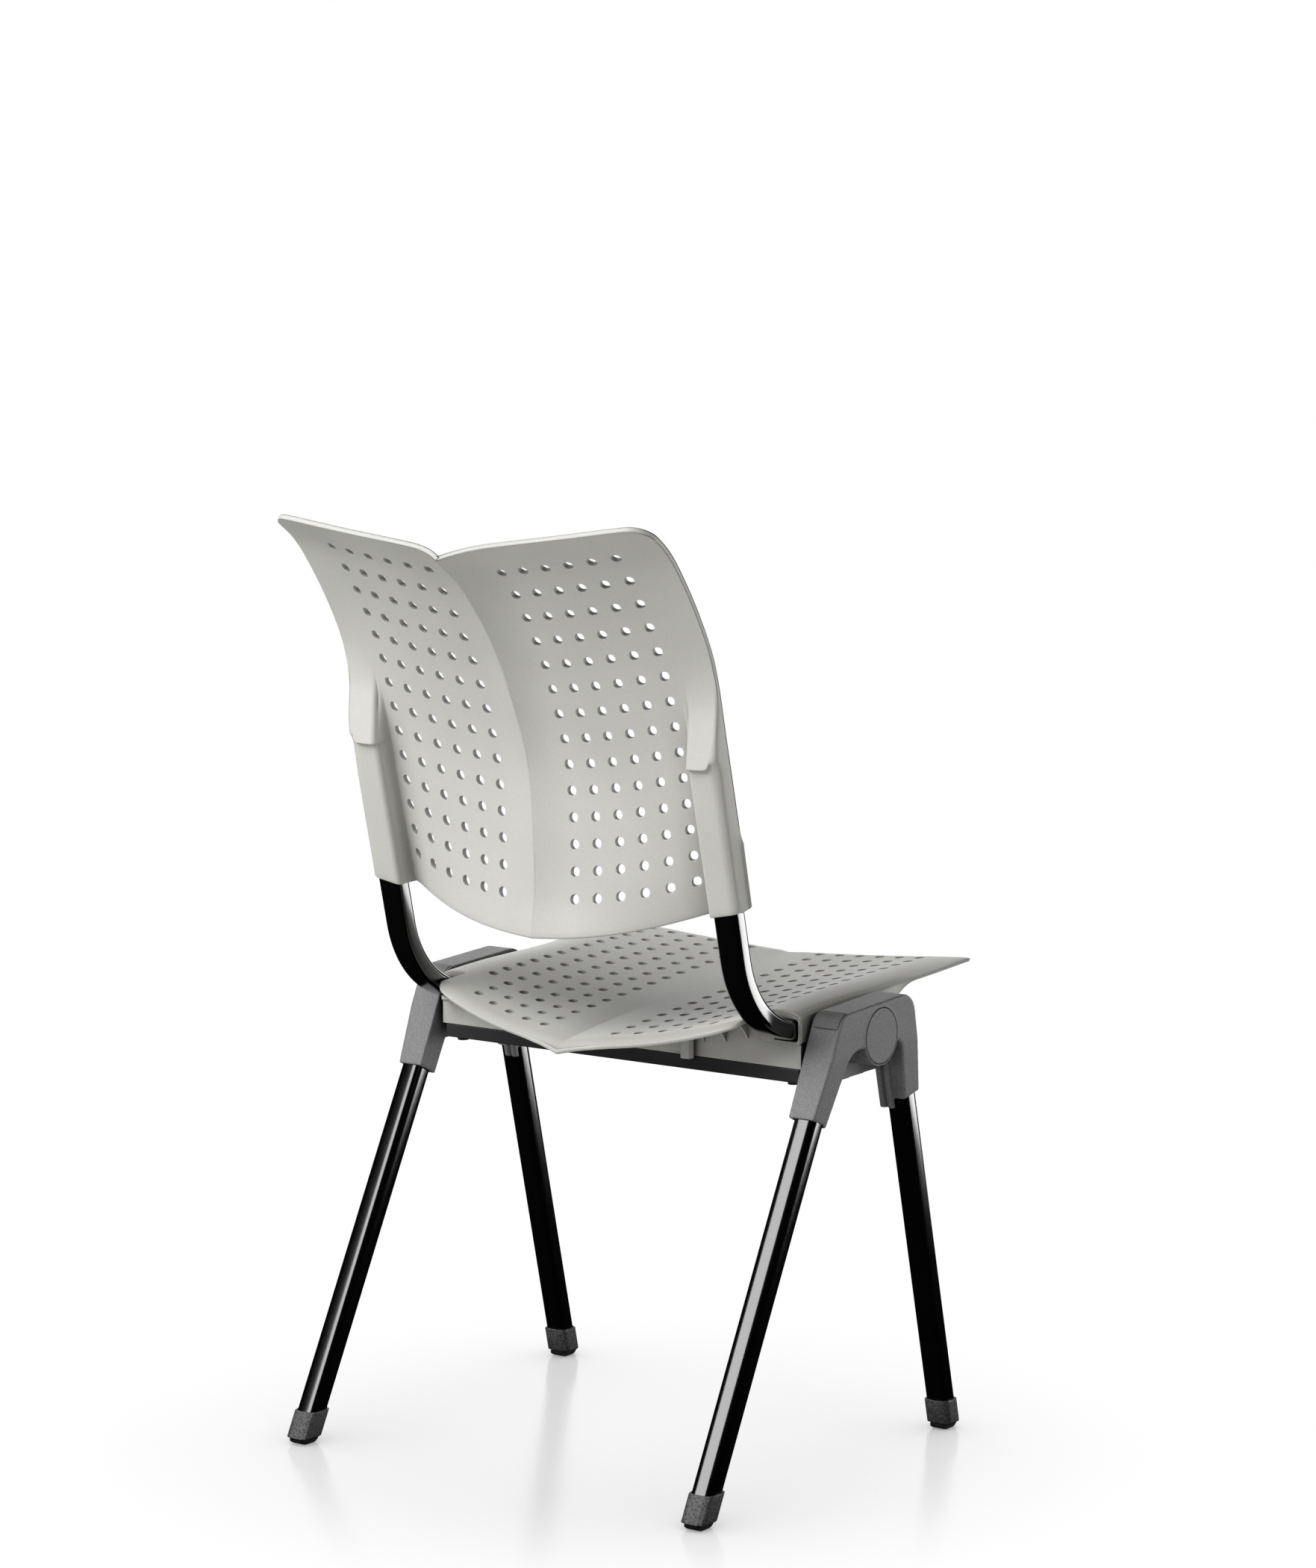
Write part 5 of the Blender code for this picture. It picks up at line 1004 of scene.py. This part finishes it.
class CHAIR_OT_seat_shell(bpy.types.Operator):
    """Model the perforated seat shell with its tongue and skirts"""

    bl_idname = "chair.seat_shell"
    bl_label = "Seat shell"

    def execute(self, context):
        settings = context.scene.chair_shells
        places = hole_lines() + [TONGUE_CORNER_LINE, TONGUE_HALF_WIDTH, SEAT_PLAIN_LINE]
        places += [SKIRT_START + SKIRT_SPAN * k / SKIRT_LINES for k in range(SKIRT_LINES + 1)]
        half_row = HOLE_CELL / SEAT_ROW_PITCH
        rows = list(SEAT_REAR_LINES)
        for row in range(SEAT_ROWS):
            rows += [row - half_row, row + half_row]
        rows += SEAT_FRONT_LINES
        piece = laid_grid(both_ways(places), [-row for row in rows])
        self.cut_corners(piece, -rows[CORNER_LINE])
        for vert in piece.data.vertices:
            vert.co.y = self.reach_at(vert.co.x, -vert.co.y, rows)
        centres = []
        for number, column in enumerate(hole_columns()):
            first = SEAT_OPEN_ROWS if number == HOLE_COLUMNS - 1 else 0
            for row in range(first, SEAT_ROWS):
                centres += [(side * column, seat_hole_reach(column, row)) for side, _ in SIDES]
        perforate(piece, centres, settings.hole_diameter / 2, seat_top_face)
        thicken(piece, centres, seat_top_face, seat_low_face, settings)
        finish(piece, "seat_pan", "shell_finish_and_shade", TILTING, "shell_plastic", "seat_shell")
        return {"FINISHED"}

    def cut_corners(self, piece, line):
        """Take away the sheet behind the rear corners, beside the tongue."""
        edit(piece)
        pick_faces(piece, lambda point: abs(point.x) > TONGUE_HALF_WIDTH and point.y > line)
        bpy.ops.mesh.delete(type="FACE")
        start_clean()

    def reach_at(self, u, row, rows):
        """Reach of the sheet's line for one row at one distance from the crease."""
        side, column = abs(u), min(abs(u), TONGUE_HALF_WIDTH)
        first, corner, last = rows[FIRST_HOLE_LINE], rows[CORNER_LINE], rows[LAST_HOLE_LINE]
        if row < first:
            start = seat_hole_reach(column, first)
            return start + (self.rear_edge(side) - start) * (row - first) / (rows[0] - first)
        weight = (side - TONGUE_BLEND_START) / (TONGUE_HALF_WIDTH - TONGUE_BLEND_START)
        weight = min(max(weight, 0.0), 1.0)
        end = seat_hole_reach(TONGUE_HALF_WIDTH, last)
        if row > last:
            start = seat_hole_reach(column, last) * (1 - weight) + end * weight
            return start + (self.front_edge(side) - start) * (row - last) / (rows[-1] - last)
        inner = seat_hole_reach(column, row)
        outer = SEAT_CORNER_REACH + (end - SEAT_CORNER_REACH) * (row - corner) / (last - corner)
        return inner + (outer - inner) * weight

    def front_edge(self, side):
        """Reach of the front edge, notched at the crease and rounded at the corners."""
        notch = SEAT_EDGE_NOTCH if side < FLAT else 0.0
        share = min(max((side - SKIRT_START) / SKIRT_SPAN, 0.0), 1.0)
        return SEAT_FRONT_REACH + notch + FRONT_CORNER_RADIUS * (1 - sqrt(1 - share * share))

    def rear_edge(self, side):
        """Reach of the tongue's edge, pointed at the crease and rounded at its corners."""
        beak = TONGUE_BEAK * max(1 - side / TONGUE_BEAK_WIDTH, 0.0) ** 2
        start = TONGUE_HALF_WIDTH - TONGUE_CORNER_RADIUS
        share = min(max((side - start) / TONGUE_CORNER_RADIUS, 0.0), 1.0)
        drop = TONGUE_CORNER_RADIUS * (1 - sqrt(1 - share * share))
        return seat_rear_edge(side) + beak - drop


class CHAIR_OT_seat_corners(bpy.types.Operator):
    """Model the walls of the seat's rear corners with the upright sockets"""

    bl_idname = "chair.seat_corners"
    bl_label = "Seat corners"

    def execute(self, context):
        for side, word in SIDES:
            self.corner(side, word)
        return {"FINISHED"}

    def corner(self, side, word):
        """One wall with its rounded socket."""
        entry = tan(UPRIGHT_ENTRY_SLOPE) * (UPRIGHT_BEND_REACH - CORNER_REAR_REACH)
        height = UPRIGHT_BEND_HEIGHT - entry
        half_width = UPRIGHT_WIDTH / 2 + SOCKET_MARGIN
        half_height = UPRIGHT_DEPTH / 2 / cos(UPRIGHT_ENTRY_SLOPE) + SOCKET_MARGIN
        left, right = UPRIGHT_OFFSET - half_width, UPRIGHT_OFFSET + half_width
        low, high = height - half_height, height + half_height
        columns = sorted((CORNER_INNER, left, UPRIGHT_OFFSET, right, CORNER_OUTER) + CORNER_LINES)
        piece = laid_grid(columns, [CORNER_BOTTOM_HEIGHT, low, high, 1.0])
        for vert in piece.data.vertices:
            tall = vert.co.y
            if tall > high + FLAT:
                place = self.layout_place(min(vert.co.x, CORNER_ROOF_END))
                tall = seat_top_face(place, CORNER_REAR_REACH).z - CORNER_ROOF_GAP
            vert.co = (side * vert.co.x, AXIS.y + CORNER_REAR_REACH - CORNER_WALL, tall)
        edit(piece)
        pick_faces(piece, lambda at: left < abs(at.x) < right and low < at.z < high)
        bpy.ops.mesh.delete(type="FACE")
        bpy.ops.mesh.select_all(action="SELECT")
        extrude((0, CORNER_WALL, 0))
        face_outward()
        self.round_socket(piece, (left, right), (low, high))
        apply_modifier(
            piece, "BEVEL", limit_method="ANGLE", angle_limit=radians(CORNER_ANGLE),
            width=CORNER_ROUNDING, segments=2,
        )
        smooth_shading(piece, CORNER_ANGLE)
        finish(piece, f"seat_corner_{word}", "shell_finish_and_shade", TILTING, "shell_plastic")

    def round_socket(self, piece, sides, heights):
        """Round the four corners of the socket through the wall."""
        bpy.ops.mesh.select_mode(type="EDGE")
        bpy.ops.mesh.select_all(action="DESELECT")
        bpy.ops.object.mode_set(mode="OBJECT")
        verts = piece.data.vertices
        for edge in piece.data.edges:
            first, second = (verts[k].co for k in edge.vertices)
            across = abs(first.y - second.y) > CORNER_WALL / 2
            at_side = min(abs(abs(first.x) - place) for place in sides) < SOCKET_SLACK
            at_height = min(abs(first.z - height) for height in heights) < SOCKET_SLACK
            edge.select = across and at_side and at_height
        bpy.ops.object.mode_set(mode="EDIT")
        bpy.ops.mesh.bevel(offset=SOCKET_CORNER, segments=5)

    def layout_place(self, across):
        """Place on the rolled side that stands at one distance from the crease."""
        if across <= SKIRT_START:
            return across
        share = (across - SKIRT_START) / SKIRT_REACH
        return SKIRT_START + SKIRT_SPAN * CORNER_ROLL_SHARE * share


class CHAIR_OT_tubes(bpy.types.Operator):
    """Model the bent uprights and the four straight legs"""

    bl_idname = "chair.tubes"
    bl_label = "Tubes"

    def execute(self, context):
        for side, word in SIDES:
            self.upright(side, word)
            self.leg(side, f"front_{word}", FRONT_LEG)
            self.leg(side, f"rear_{word}", REAR_LEG)
        return {"FINISHED"}

    def upright(self, side, word):
        """Upright tube: straight in its sleeve, bent once, straight into the arm."""
        up = Vector((0, sin(UPRIGHT_LEAN), cos(UPRIGHT_LEAN)))
        inward = Vector((0, -cos(UPRIGHT_LEAN), sin(UPRIGHT_LEAN)))
        tail = Vector((0, -cos(UPRIGHT_ENTRY_SLOPE), -sin(UPRIGHT_ENTRY_SLOPE)))
        corner = Vector((side * UPRIGHT_OFFSET, UPRIGHT_BEND_REACH + AXIS.y, UPRIGHT_BEND_HEIGHT))
        turn = (-up).angle(tail)
        run = UPRIGHT_BEND_RADIUS * tan(turn / 2)
        top = corner + up * (UPRIGHT_TOP_HEIGHT - corner.z) / up.z
        end = corner + tail * (UPRIGHT_BEND_REACH - UPRIGHT_TAIL_REACH) / -tail.y
        piece = swept_section(UPRIGHT_WIDTH / 2, UPRIGHT_DEPTH / 2, UPRIGHT_CROWN)
        stand_ring(piece, top, inward)
        bend_start, bend_end = corner + up * run, corner + tail * run
        centre = bend_start + inward * UPRIGHT_BEND_RADIUS
        edit(piece, "EDGE")
        extrude(bend_start - top)
        bpy.ops.mesh.spin(steps=BEND_STEPS, angle=turn, center=centre, axis=(1, 0, 0))
        extrude(end - bend_end)
        close_tube(piece)
        finish(piece, f"upright_tube_{word}", "enamel_finish", TILTING, "black_enamel",
               f"upright_{word}")

    def leg(self, side, word, place):
        """Straight leg tube from its foot to its place in the hub."""
        reach, height, lean, top = place
        ends = [
            Vector((side * LEG_OFFSET, AXIS.y + reach + (height - z) * tan(lean), z))
            for z in (LEG_BOTTOM, top)
        ]
        piece = swept_section(LEG_WIDTH / 2, LEG_DEPTH / 2 / cos(lean), LEG_CROWN)
        stand_ring(piece, ends[0], Vector((0, 1, 0)))
        edit(piece, "EDGE")
        extrude(ends[1] - ends[0])
        close_tube(piece)
        finish(piece, f"leg_tube_{word}", "enamel_finish", BASE, "black_enamel", f"leg_{word}")


class CHAIR_OT_hubs(bpy.types.Operator):
    """Refine the side hubs with their stacking pads and pivot caps"""

    bl_idname = "chair.hubs"
    bl_label = "Hubs"

    def execute(self, context):
        for _, word in SIDES:
            hub = softened_copy(f"hub_{word}", HUB_GRAIN, HUB_PASSES)
            pad = refined_copy(f"stack_pad_{word}", GRIP_EDGE, 1)
            cap = refined_copy(f"pivot_cap_{word}", CAP_EDGE)
            copies = (
                (hub, "hub_body", "hub"), (pad, "stack_grip", "stack_pad"),
                (cap, "pivot_disc", "pivot_cap"),
            )
            for piece, name, node in copies:
                finish(piece, f"{name}_{word}", "hub_finish_and_shade", BASE, "hub_plastic",
                       f"{node}_{word}")
        return {"FINISHED"}


class CHAIR_OT_feet(bpy.types.Operator):
    """Refine the foot boots and their soles"""

    bl_idname = "chair.feet"
    bl_label = "Feet"

    def execute(self, context):
        for spot in [f"{place}_{word}" for _, word in SIDES for place in ("front", "rear")]:
            foot, sole = f"foot_{spot}", f"sole_{spot}"
            boot = softened_copy(foot, FOOT_GRAIN, FOOT_PASSES)
            finish(boot, f"foot_boot_{spot}", "foot_finish_and_shade", BASE, "foot_plastic", foot)
            tread = refined_copy(sole, SOLE_EDGE)
            finish(tread, f"foot_sole_{spot}", "sole_finish_and_shade", BASE, "sole_rubber", sole)
        return {"FINISHED"}


class CHAIR_OT_carrier(bpy.types.Operator):
    """Refine the rear housing, cross bar, arms, shafts and screws"""

    bl_idname = "chair.carrier"
    bl_label = "Carrier"

    def execute(self, context):
        housing = refined_copy("rear_housing", HOUSING_EDGE)
        finish(housing, "housing_wall", "shell_finish_and_shade", TILTING, "shell_plastic", "rear_housing")
        bar = refined_copy("cross_bar", BAR_EDGE)
        finish(bar, "seat_bar", "powder_finish", TILTING, "carrier_steel", "cross_bar")
        for _, word in SIDES:
            node = f"pivot_arm_{word}"
            arm = refined_copy(node, ARM_EDGE)
            finish(arm, f"tilt_arm_{word}", "powder_finish", TILTING, "arm_alloy", node)
        finishes = {
            "pivot_bush": "sole_finish_and_shade", "pivot_shaft": "steel_finish",
            "bar_screw": "screw_finish", "housing_screw": "screw_finish",
        }
        for name, node in frame["nodes"].items():
            for start, material in finishes.items():
                if name.startswith(start):
                    node.data.materials.clear()
                    node.data.materials.append(bpy.data.materials[material])
        return {"FINISHED"}


# Stage


def soft_lamp(name, placing, power):
    """Rectangular lamp on a sphere round the chair, turned to it and hidden from the camera."""
    start_clean()
    azimuth, elevation, width, height, distance = placing
    turn, rise = radians(azimuth), radians(elevation)
    out = Vector((cos(turn) * cos(rise), sin(turn) * cos(rise), sin(rise)))
    bpy.ops.object.light_add(type="AREA", location=LAMP_AIM + out * distance)
    lamp = bpy.context.object
    lamp.name = name
    lamp.data.shape = "RECTANGLE"
    lamp.data.size = width
    lamp.data.size_y = height
    lamp.data.energy = power
    lamp.rotation_euler = out.to_track_quat("Z", "Y").to_euler()
    lamp.visible_camera = False
    return lamp


class CHAIR_OT_stage(bpy.types.Operator):
    """Set the floor, the lights, the surroundings and the camera"""

    bl_idname = "chair.stage"
    bl_label = "Stage"

    def execute(self, context):
        settings = context.scene.chair_stage
        self.floor(settings)
        self.surroundings()
        key = soft_lamp("key_light", KEY_LAMP, settings.key_power)
        fill = soft_lamp("fill_light", FILL_LAMP, settings.fill_power)
        for lamp in (key, fill):
            lamp.visible_glossy = False
        sheen = soft_lamp("sheen_light", SHEEN_LAMP, settings.sheen_power)
        sheen.visible_diffuse = False
        soft_lamp("strip_light", STRIP_LAMP, settings.strip_power)
        soft_lamp("back_light", BACK_LAMP, settings.back_power)
        self.camera()
        context.scene.view_settings.view_transform = "Standard"
        return {"FINISHED"}

    def floor(self, settings):
        """Wide disc under the chair."""
        start_clean()
        bpy.ops.mesh.primitive_circle_add(
            vertices=FLOOR_POINTS, radius=FLOOR_RADIUS, fill_type="NGON",
        )
        disc = bpy.context.object
        disc.name = "floor"
        self.floor_finish_and_shadow(settings)
        disc.data.materials.append(bpy.data.materials["pale_floor"])

    def floor_finish_and_shadow(self, settings):
        """Shadowed and faintly glossy near the chair, white farther out."""
        nodes, links, sheen = new_material("pale_floor")
        sheen.inputs["Base Color"].default_value = (0.0, 0.0, 0.0, 1.0)
        sheen.inputs["Roughness"].default_value = 0.18
        sheen.inputs["IOR"].default_value = 1.10
        place = add_node(nodes, "ShaderNodeTexCoord")
        far = add_node(nodes, "ShaderNodeVectorMath", operation="LENGTH")
        # Painted shadow: ambient occlusion darkens the floor's glow near the chair
        shade = add_node(
            nodes, "ShaderNodeAmbientOcclusion", {"Distance": FLOOR_SHADE_REACH}, samples=8,
        )
        glow = add_node(nodes, "ShaderNodeEmission", {"Strength": settings.floor_glow})
        near = add_node(nodes, "ShaderNodeAddShader")
        fade = add_node(
            nodes, "ShaderNodeMapRange", {"From Min": FLOOR_NEAR, "From Max": FLOOR_WHITE_FROM},
            interpolation_type="SMOOTHSTEP",
        )
        white = add_node(nodes, "ShaderNodeEmission")
        seen = add_node(nodes, "ShaderNodeMixShader")
        # The floor glows for diffuse rays in place of bounce light; the glow is dimmer near the
        # chair, as painted shadow
        dim = add_node(nodes, "ShaderNodeMapRange", {
            "From Min": FLOOR_NEAR, "From Max": FLOOR_BOUNCE_FROM,
            "To Min": settings.bounce * FLOOR_NEAR_BOUNCE, "To Max": settings.bounce,
        }, interpolation_type="SMOOTHSTEP")
        bounce = add_node(nodes, "ShaderNodeEmission")
        clear = add_node(nodes, "ShaderNodeBsdfTransparent")
        unseen = add_node(nodes, "ShaderNodeMixShader")
        path = add_node(nodes, "ShaderNodeLightPath")
        choice = add_node(nodes, "ShaderNodeMixShader")
        link_all(
            links,
            (place, "Object", far, 0),
            (far, "Value", fade, "Value"),
            (far, "Value", dim, "Value"),
            (shade, "AO", glow, "Color"),
            (sheen, "BSDF", near, 0),
            (glow, "Emission", near, 1),
            (fade, "Result", seen, "Fac"),
            (near, "Shader", seen, 1),
            (white, "Emission", seen, 2),
            (dim, "Result", bounce, "Strength"),
            (path, "Is Glossy Ray", unseen, "Fac"),
            (bounce, "Emission", unseen, 1),
            (clear, "BSDF", unseen, 2),
            (path, "Is Camera Ray", choice, "Fac"),
            (unseen, "Shader", choice, 1),
            (seen, "Shader", choice, 2),
            (choice, "Shader", nodes["Material Output"], "Surface"),
        )

    def surroundings(self):
        """White to the camera, dark to everything else."""
        world = bpy.data.worlds.new("studio")
        bpy.context.scene.world = world
        world.use_nodes = True
        nodes, links = world.node_tree.nodes, world.node_tree.links
        sky = nodes["Background"]
        sky.inputs["Color"].default_value = (1.0, 1.0, 1.0, 1.0)
        path = nodes.new("ShaderNodeLightPath")
        links.new(path.outputs["Is Camera Ray"], sky.inputs["Strength"])

    def camera(self):
        """Camera at the photograph's viewing angle."""
        start_clean()
        bpy.ops.object.camera_add(location=CAMERA_PLACE)
        camera = bpy.context.object
        camera.name = "camera"
        back = Vector((
            sin(CAMERA_AZIMUTH) * cos(CAMERA_ELEVATION),
            -cos(CAMERA_AZIMUTH) * cos(CAMERA_ELEVATION),
            sin(CAMERA_ELEVATION),
        ))
        camera.rotation_euler = (-back).to_track_quat("-Z", "Y").to_euler()
        camera.data.sensor_width = CAMERA_SENSOR
        camera.data.lens = CAMERA_FOCUS_PIXELS / IMAGE_HEIGHT_PIXELS * CAMERA_SENSOR
        camera.data.clip_end = 100
        bpy.context.scene.camera = camera


class CHAIR_PT_panel(bpy.types.Panel):
    """Buttons and settings of the chair"""

    bl_label = "Conference chair"
    bl_idname = "CHAIR_PT_panel"
    bl_space_type = "VIEW_3D"
    bl_region_type = "UI"
    bl_category = "Chair"

    def draw(self, context):
        layout = self.layout
        for name in ("chair_shells", "chair_finishes", "chair_stage"):
            group = getattr(context.scene, name)
            for field in group.bl_rna.properties:
                if field.identifier not in ("rna_type", "name"):
                    layout.prop(group, field.identifier)
        for step in STEPS:
            layout.operator(step)


SETTINGS = (
    ("chair_shells", ShellSettings), ("chair_finishes", FinishSettings),
    ("chair_stage", StageSettings),
)
OPERATORS = (
    CHAIR_OT_finishes, CHAIR_OT_back_shell, CHAIR_OT_seat_shell, CHAIR_OT_seat_corners,
    CHAIR_OT_tubes, CHAIR_OT_hubs, CHAIR_OT_feet, CHAIR_OT_carrier, CHAIR_OT_stage,
)
STEPS = [operator.bl_idname for operator in OPERATORS]


def register():
    """Register the settings, the operators and the panel."""
    for name, group in SETTINGS:
        bpy.utils.register_class(group)
        setattr(bpy.types.Scene, name, PointerProperty(type=group))
    for operator in OPERATORS:
        bpy.utils.register_class(operator)
    bpy.utils.register_class(CHAIR_PT_panel)


def unregister():
    """Take everything back out."""
    bpy.utils.unregister_class(CHAIR_PT_panel)
    for operator in reversed(OPERATORS):
        bpy.utils.unregister_class(operator)
    for name, group in reversed(SETTINGS):
        delattr(bpy.types.Scene, name)
        bpy.utils.unregister_class(group)


def main():
    """Build the dressed chair on its stage."""
    register()
    for step in STEPS:
        group, name = step.split(".")
        getattr(getattr(bpy.ops, group), name)()


if __name__ == "__main__":
    main()
